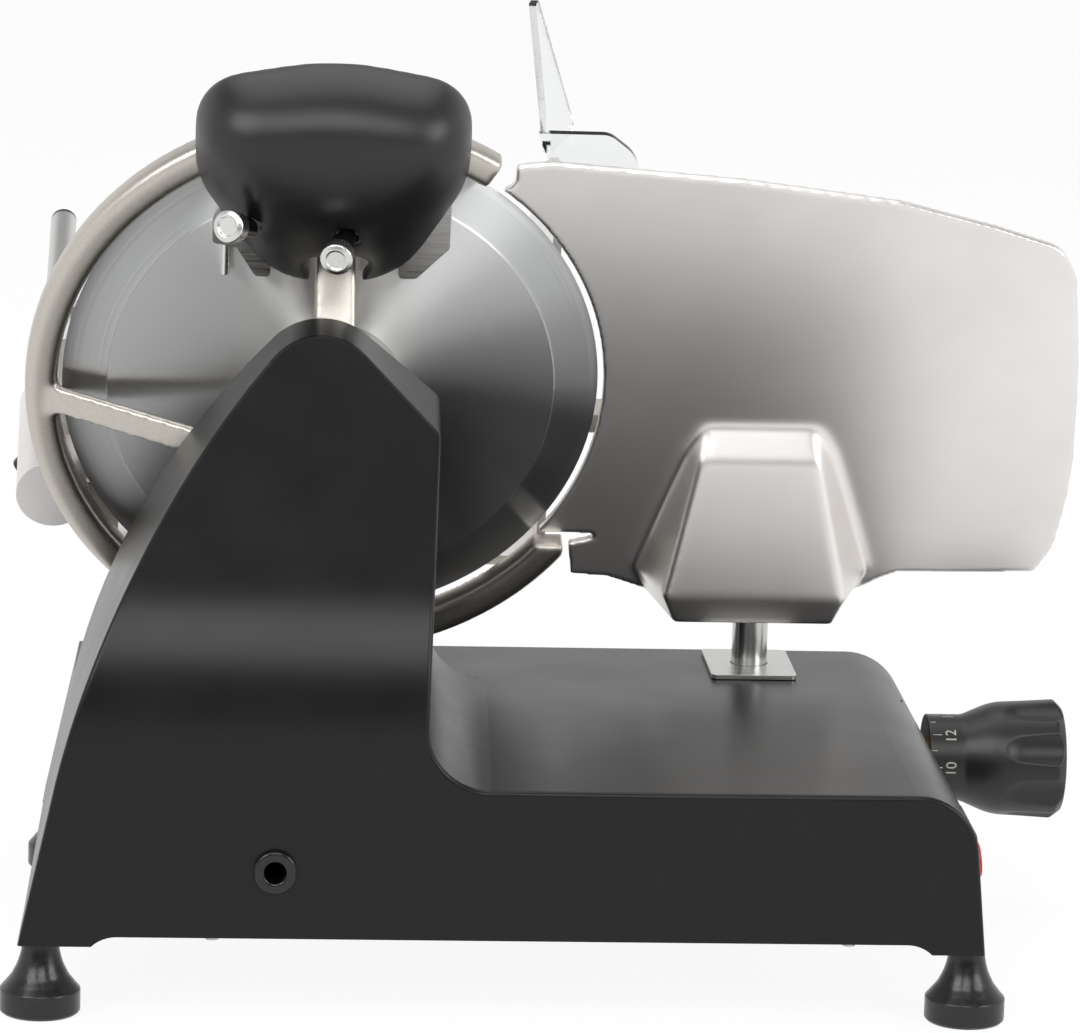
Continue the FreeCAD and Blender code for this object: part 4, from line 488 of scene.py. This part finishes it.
# The node's own shape with the soft edges of a casting or moulding. keep(point) in the blade's
# frame, in mm, is how much of the smoothing a point takes
def softened(name, node, body, material, voxelMm, passes, keep):
    shape = bmesh.new()
    shape.from_mesh(nodes[node].data)
    shape.transform(bladeFrame.inverted())
    bmesh.ops.remove_doubles(shape, verts=shape.verts, dist=1e-6)
    piece = newPiece(name, shape, material, body, [node])
    remesh = piece.modifiers.new("voxels", "REMESH")
    remesh.mode = "VOXEL"
    remesh.voxel_size = voxelMm / 1000
    remesh.use_smooth_shade = True
    applyModifiers(piece)
    group = piece.vertex_groups.new(name="soft")
    for v in piece.data.vertices:
        group.add([v.index], keep(v.co * 1000), "REPLACE")
    smooth = piece.modifiers.new("smooth", "SMOOTH")
    smooth.iterations = passes
    smooth.factor = 0.5
    smooth.vertex_group = "soft"
    applyModifiers(piece)
    piece.vertex_groups.clear()
    piece.data.transform(bladeFrame)
    return piece


def applyModifiers(piece):
    bpy.context.view_layer.update()
    old = piece.data
    mesh = bpy.data.meshes.new_from_object(piece.evaluated_get(bpy.context.evaluated_depsgraph_get()))
    piece.modifiers.clear()
    piece.data = mesh
    bpy.data.meshes.remove(old)


def ramp(value, low, high):
    t = min(max((value - low) / (high - low), 0.0), 1.0)
    return t * t * (3 - 2 * t)


# A node's box seen along the blade's axis, in mm, and how far a point lies from the nearest of such boxes
def boxAlongBlade(node):
    corners = [bladeFrame.inverted() @ v.co * 1000 for v in nodes[node].data.vertices]
    return [(min(c[k] for c in corners), max(c[k] for c in corners)) for k in range(2)]


def gapTo(boxes, p):
    return min(math.hypot(*(max(low - p[k], p[k] - high, 0.0) for k, (low, high) in enumerate(box)))
               for box in boxes)


# Sharpener cover: soft all over, but for its rim and round the two button stems
domeSoft = {"voxelMm": 1.6, "passes": 420, "rim": 14.5, "fade": 20.0, "least": 0.1, "clear": (3.0, 16.0),
            "playMm": 0.9, "strokeMm": 5.0}
stems = ("sharpen_button_stem", "deburr_button_stem")
stemBoxes = [boxAlongBlade(node) for node in stems]


def domeKeep(p):
    gap = gapTo(stemBoxes, p)
    soft = ramp(p.z, domeSoft["rim"], domeSoft["rim"] + domeSoft["fade"]) * ramp(gap, *domeSoft["clear"])
    return max(soft, domeSoft["least"] * (gap > domeSoft["clear"][0]))


# The walls of a stem's hole stand off its whole stroke, which the voxels alone don't keep
def clearStem(piece, node):
    spots = np.array([v.co for v in nodes[node].data.vertices])
    centre = spots.mean(axis=0)
    axis = np.linalg.svd(spots - centre, full_matrices=False)[2][0]
    along = (spots - centre) @ axis
    radius = np.linalg.norm(spots - centre - along[:, None] * axis, axis=1).max()
    hole = radius + domeSoft["playMm"] / 1000
    for v in piece.data.vertices:
        offset = np.array(v.co) - centre
        reach = offset @ axis
        out = offset - reach * axis
        size = np.linalg.norm(out)
        if abs(reach) < along.max() + domeSoft["strokeMm"] / 1000 and size < hole:
            v.co = Vector(centre + reach * axis + out / size * hole)


dome = softened("sharpenerDome", "sharpener_cover", "machine", finishes["mouldedAbs"][0],
                domeSoft["voxelMm"], domeSoft["passes"], domeKeep)
for node in stems:
    clearStem(dome, node)

# Gauge plate: only the cast boss is soft, and less so at its lower lip
plateSoft = {"voxelMm": 1.2, "passes": 34, "face": 2.8, "below": 1.0, "bossTop": -12.0, "topFade": 6,
             "bossX": 203.2, "bossSide": 64.0, "sideSpill": 6, "sideFade": 8,
             "lip": -97.0, "lipSpill": 4, "lipFade": 6, "lipLess": 0.75}


def plateKeep(p):
    spec = plateSoft
    top = ramp(spec["bossTop"] - p.y, 0, spec["topFade"])
    side = ramp(spec["bossSide"] + spec["sideSpill"] - abs(p.x - spec["bossX"]), 0, spec["sideFade"])
    lip = 1 - spec["lipLess"] * ramp(spec["lip"] + spec["lipSpill"] - p.y, 0, spec["lipFade"])
    return (p.z > spec["face"] - spec["below"]) * top * side * lip


softened("gaugeCasting", "gauge_plate", "gauge", finishes["satinAnodisedAluminium"][0],
         plateSoft["voxelMm"], plateSoft["passes"], plateKeep)

# Guard ring: its front edges and spokes are rounded by the mould and the fettling
ringSoft = {"voxelMm": 1.3, "passes": 14, "back": 0.0, "fade": 6.0}
softened("guardRing", "blade_guard_ring", "machine", finishes["sandCastAluminium"][0],
         ringSoft["voxelMm"], ringSoft["passes"],
         lambda p: ramp(p.z, ringSoft["back"], ringSoft["back"] + ringSoft["fade"]))
print("castings softened")

# Rubber feet: a bell that sweeps out from the neck to a plain band. Each corner is (radius, height,
# round), in mm
bellFoot = {
    "around": 72, "step": 1.0, "spots": [(-205.2, -123.0), (204.5, -123.0), (-196.74, 123.0), (204.5, 123.0)],
    "corners": [(0.0, 0.0), (16.6, 0.0, 0.9), (17.8, 1.3, 0.9), (17.8, 10.8, 1.2), (15.4, 13.6, 6.0),
                (12.6, 17.1, 12.0), (9.95, 22.5, 20.0), (8.4, 28.0, 30.0), (7.75, 34.5), (0.0, 34.5)],
}
footProfile = divided(roundedProfile(bellFoot["corners"]), bellFoot["step"])
feet = bmesh.new()
for x, y in bellFoot["spots"]:
    foot = lathe(footProfile, Matrix.Translation((x / 1000, y / 1000, 0)), bellFoot["around"])
    mesh = bpy.data.meshes.new("foot")
    foot.to_mesh(mesh)
    foot.free()
    feet.from_mesh(mesh)
    bpy.data.meshes.remove(mesh)
newPiece("bellFeet", feet, finishes["rubberFoot"][0], "machine", ["feet"])
print("feet made")

# Cable gland: round nut with two flats, its lip rolled over. Sizes in mm, along -Y from inside the wall
gland = {"centre": (-103.5, 69.5), "back": -124.0, "radius": 9.6, "bore": 4.7, "long": 20.4, "lip": 1.5,
         "flat": 0.93, "around": 96, "step": 1.0}
glandRim = [(gland["bore"], 0.0), (gland["bore"], gland["long"], gland["lip"]),
            (gland["radius"], gland["long"], gland["lip"]), (gland["radius"], 0.0), (gland["bore"], 0.0)]


def flattened(radius, along, angle):
    return min(radius, gland["flat"] * gland["radius"] / max(abs(math.cos(angle)), 0.01))


glandSeat = Matrix.Translation(Vector((gland["centre"][0], gland["back"], gland["centre"][1])) / 1000)
glandShell = lathe(divided(roundedProfile(glandRim), gland["step"]),
                   glandSeat @ Matrix.Rotation(math.pi / 2, 4, "X"), gland["around"], flattened)
bmesh.ops.remove_doubles(glandShell, verts=glandShell.verts, dist=1e-6)
newPiece("glandNut", glandShell, finishes["glossyMoulding"][0], "machine", ["cable_gland"])
print("gland made")

# Thickness knob: dial neck, flaring grip with eight flutes, dished end. Sizes in mm, along +X
dialKnob = {
    "start": 209.6, "axis": (75.0, 70.5), "around": 384, "step": 1.2,
    "corners": [(0, 0.0), (20.5, 0.0, 0.8), (20.5, 17.0, 7.0), (26.5, 31.0, 30.0), (28.5, 60.5, 2.5),
                (24.5, 64.5, 2.5), (19.5, 64.5, 1.2), (18.5, 62.5, 1.2), (0.0, 62.5)],
    "flutes": 8, "fluteRadius": 14.0, "fluteCircle": 39.2, "fluteStart": 15.0, "fluteFull": 44.0,
    "runOut": 9.0, "softness": 0.25,
}


# A flute is a cylinder taken out of the grip, moved outwards by runOut where it starts. Softness rounds
# the edge between flute and grip
def flutedRadius(radius, along, angle):
    spec = dialKnob
    pitch = 2 * math.pi / spec["flutes"]
    off = angle % pitch - pitch / 2
    circle = spec["fluteCircle"] + spec["runOut"] * (1 - ramp(along, spec["fluteStart"], spec["fluteFull"]))
    reach = spec["fluteRadius"] ** 2 - (circle * math.sin(off)) ** 2
    if reach <= 0:
        return radius
    bite = circle * math.cos(off) - math.sqrt(reach)
    return radius - spec["softness"] * math.log(1 + math.exp((radius - bite) / spec["softness"]))


knobSeat = Matrix.Translation(Vector((dialKnob["start"], *dialKnob["axis"])) / 1000)
knobProfile = divided(roundedProfile(dialKnob["corners"]), dialKnob["step"])
knobShell = lathe(knobProfile, knobSeat @ Matrix.Rotation(math.pi / 2, 4, "Y"), dialKnob["around"],
                  flutedRadius)
newPiece("dialKnob", knobShell, finishes["mouldedAbs"][0], "thickness_dial", ["thickness_knob"])

# The dial's print: a tick at each step and a number at every second one. Angles in degrees, sizes in mm
dialPrint = {"neck": 20.5, "proud": 0.06, "sunk": 0.1, "step": 22.5, "count": 15, "firstAngle": 135.0,
             "shortTick": (1.0, 3.6), "longTick": (1.4, 6.0), "tickWide": 0.4, "textAt": 7.6, "textHigh": 5.0}


def ontoNeck(point, turn):
    angle = math.radians(turn) + point.y / dialPrint["neck"]
    out = dialPrint["neck"] + point.z
    return knobSeat @ (Vector((point.x, -out * math.cos(angle), out * math.sin(angle))) / 1000)


def addTick(bm, near, far, turn):
    half, top = dialPrint["tickWide"] / 2, dialPrint["proud"]
    low = [(near, -half), (far, -half), (far, half), (near, half)]
    rings = [[bm.verts.new(ontoNeck(Vector((x, y, z)), turn)) for x, y in low]
             for z in (-dialPrint["sunk"], top)]
    bm.faces.new(rings[1])
    for k in range(4):
        bm.faces.new((rings[0][k], rings[0][(k + 1) % 4], rings[1][(k + 1) % 4], rings[1][k]))


def addNumber(bm, text, turn):
    curve = bpy.data.curves.new("number", "FONT")
    curve.body = text
    curve.align_x = "LEFT"
    holder = bpy.data.objects.new("number", curve)
    bpy.context.scene.collection.objects.link(holder)
    bpy.context.view_layer.update()
    mesh = bpy.data.meshes.new_from_object(holder.evaluated_get(bpy.context.evaluated_depsgraph_get()))
    bpy.data.objects.remove(holder)
    glyph = bmesh.new()
    glyph.from_mesh(mesh)
    low, high = min(v.co.y for v in glyph.verts), max(v.co.y for v in glyph.verts)
    middle = (min(v.co.x for v in glyph.verts) + max(v.co.x for v in glyph.verts)) / 2
    size = dialPrint["textHigh"] / (high - low)
    bmesh.ops.triangulate(glyph, faces=glyph.faces)
    bmesh.ops.subdivide_edges(glyph, edges=glyph.edges, cuts=2)
    for v in glyph.verts:
        flat = ((high - v.co.y) * size + dialPrint["textAt"], (v.co.x - middle) * size, dialPrint["proud"])
        v.co = ontoNeck(Vector(flat), turn)
    glyph.to_mesh(mesh)
    glyph.free()
    bm.from_mesh(mesh)
    bpy.data.meshes.remove(mesh)
    bpy.data.curves.remove(curve)


dialMarks = bmesh.new()
for step in range(dialPrint["count"]):
    turn = dialPrint["firstAngle"] + step * dialPrint["step"]
    even = step % 2 == 0
    addTick(dialMarks, *dialPrint["longTick" if even else "shortTick"], turn)
    if even:
        addNumber(dialMarks, str(step), turn)


# Pale pad-printing ink: matt, a little worn
def padPrint():
    m, tree, shader = newMaterial("padPrint", "#a5a499", 0.6)
    coloured(tree, shader, noise(tree, 1.5, place(tree)), "#8f8e84", "#b3b2a8")
    return m


newPiece("dialMarks", dialMarks, padPrint(), "thickness_dial")
print("knob made")


# Studio: pale floor and four softboxes, the largest light from the left and front. What reflections
# see is a white surround that fades to a dim room ahead and overhead. Each lamp is (place, size, power)
studio = {
    "floor": "#f8f8f7", "floorSize": 24.0, "whitening": 0.9, "ambient": 0.6, "aim": (0, 0, 0.2),
    "room": 0.2, "roomFade": (-0.95, -0.45), "ceiling": 0.3, "ceilingFade": (0.3, 0.9),
    "lamps": {"key": ((-1.5, -1.7, 1.9), 1.5, 34.0), "fill": ((1.9, -1.3, 1.2), 1.2, 20.0),
              "front": ((0.1, -2.3, 1.9), 1.3, 24.0), "top": ((0.0, 0.5, 2.2), 1.8, 18.0)},
}


# 1 for the rays that see the surround: from the camera, a reflection or through a clear sheet
def seenWhite(tree):
    path = addNode(tree, "LightPath")
    seen = path.outputs["Is Camera Ray"]
    for ray in ("Is Glossy Ray", "Is Transmission Ray"):
        seen = addNode(tree, "Math", {"operation": "MAXIMUM"}, {0: seen, 1: path.outputs[ray]}).outputs["Value"]
    return seen


def addFloor():
    bm = bmesh.new()
    half = studio["floorSize"] / 2
    bm.faces.new([bm.verts.new((x * half, y * half, 0)) for x, y in ((-1, -1), (1, -1), (1, 1), (-1, 1))])
    mesh = bpy.data.meshes.new("floor")
    bm.to_mesh(mesh)
    bm.free()
    floor = bpy.data.objects.new("floor", mesh)
    bpy.context.scene.collection.objects.link(floor)
    m, tree, shader = newMaterial("paleFloor", studio["floor"], 0.9, Specular_IOR_Level=0.0)
    factor = addNode(tree, "Math", {"operation": "MULTIPLY", 1: studio["whitening"]}, {0: seenWhite(tree)})
    glow = addNode(tree, "Emission", {"Color": (1, 1, 1, 1), "Strength": 1.0})
    mix = addNode(tree, "MixShader", links={"Fac": factor.outputs["Value"], 1: shader.outputs["BSDF"],
                                            2: glow.outputs["Emission"]})
    tree.links.new(mix.outputs["Shader"], tree.nodes["Material Output"].inputs["Surface"])
    mesh.materials.append(m)


def faded(tree, direction, span, near, far):
    return addNode(tree, "MapRange", {"interpolation_type": "SMOOTHSTEP", "From Min": span[0],
                                      "From Max": span[1], "To Min": near, "To Max": far},
                   {"Value": direction}).outputs["Result"]


def addWorld():
    world = bpy.data.worlds.new("studio")
    bpy.context.scene.world = world
    world.use_nodes = True
    tree = world.node_tree
    way = addNode(tree, "SeparateXYZ", links={"Vector": addNode(tree, "TexCoord").outputs["Generated"]})
    ahead = faded(tree, way.outputs["Y"], studio["roomFade"], studio["room"], 1.0)
    above = faded(tree, way.outputs["Z"], studio["ceilingFade"], 1.0, studio["ceiling"])
    around = addNode(tree, "Math", {"operation": "MULTIPLY"}, {0: ahead, 1: above})
    level = addNode(tree, "MixRGB", {"Color1": (studio["ambient"],) * 3 + (1,)},
                    {"Fac": seenWhite(tree), "Color2": around.outputs["Value"]})
    tree.links.new(level.outputs["Color"], tree.nodes["Background"].inputs["Strength"])
    tree.nodes["Background"].inputs["Color"].default_value = (1, 1, 1, 1)


def addLamps():
    for name, (spot, size, power) in studio["lamps"].items():
        lamp = bpy.data.lights.new(name, "AREA")
        lamp.size = size
        lamp.energy = power
        holder = bpy.data.objects.new(name, lamp)
        holder.location = spot
        holder.rotation_euler = (Vector(studio["aim"]) - Vector(spot)).to_track_quat("-Z", "Y").to_euler()
        bpy.context.scene.collection.objects.link(holder)


addFloor()
addWorld()
addLamps()
bpy.context.scene.view_settings.view_transform = "Standard"
print("studio set")
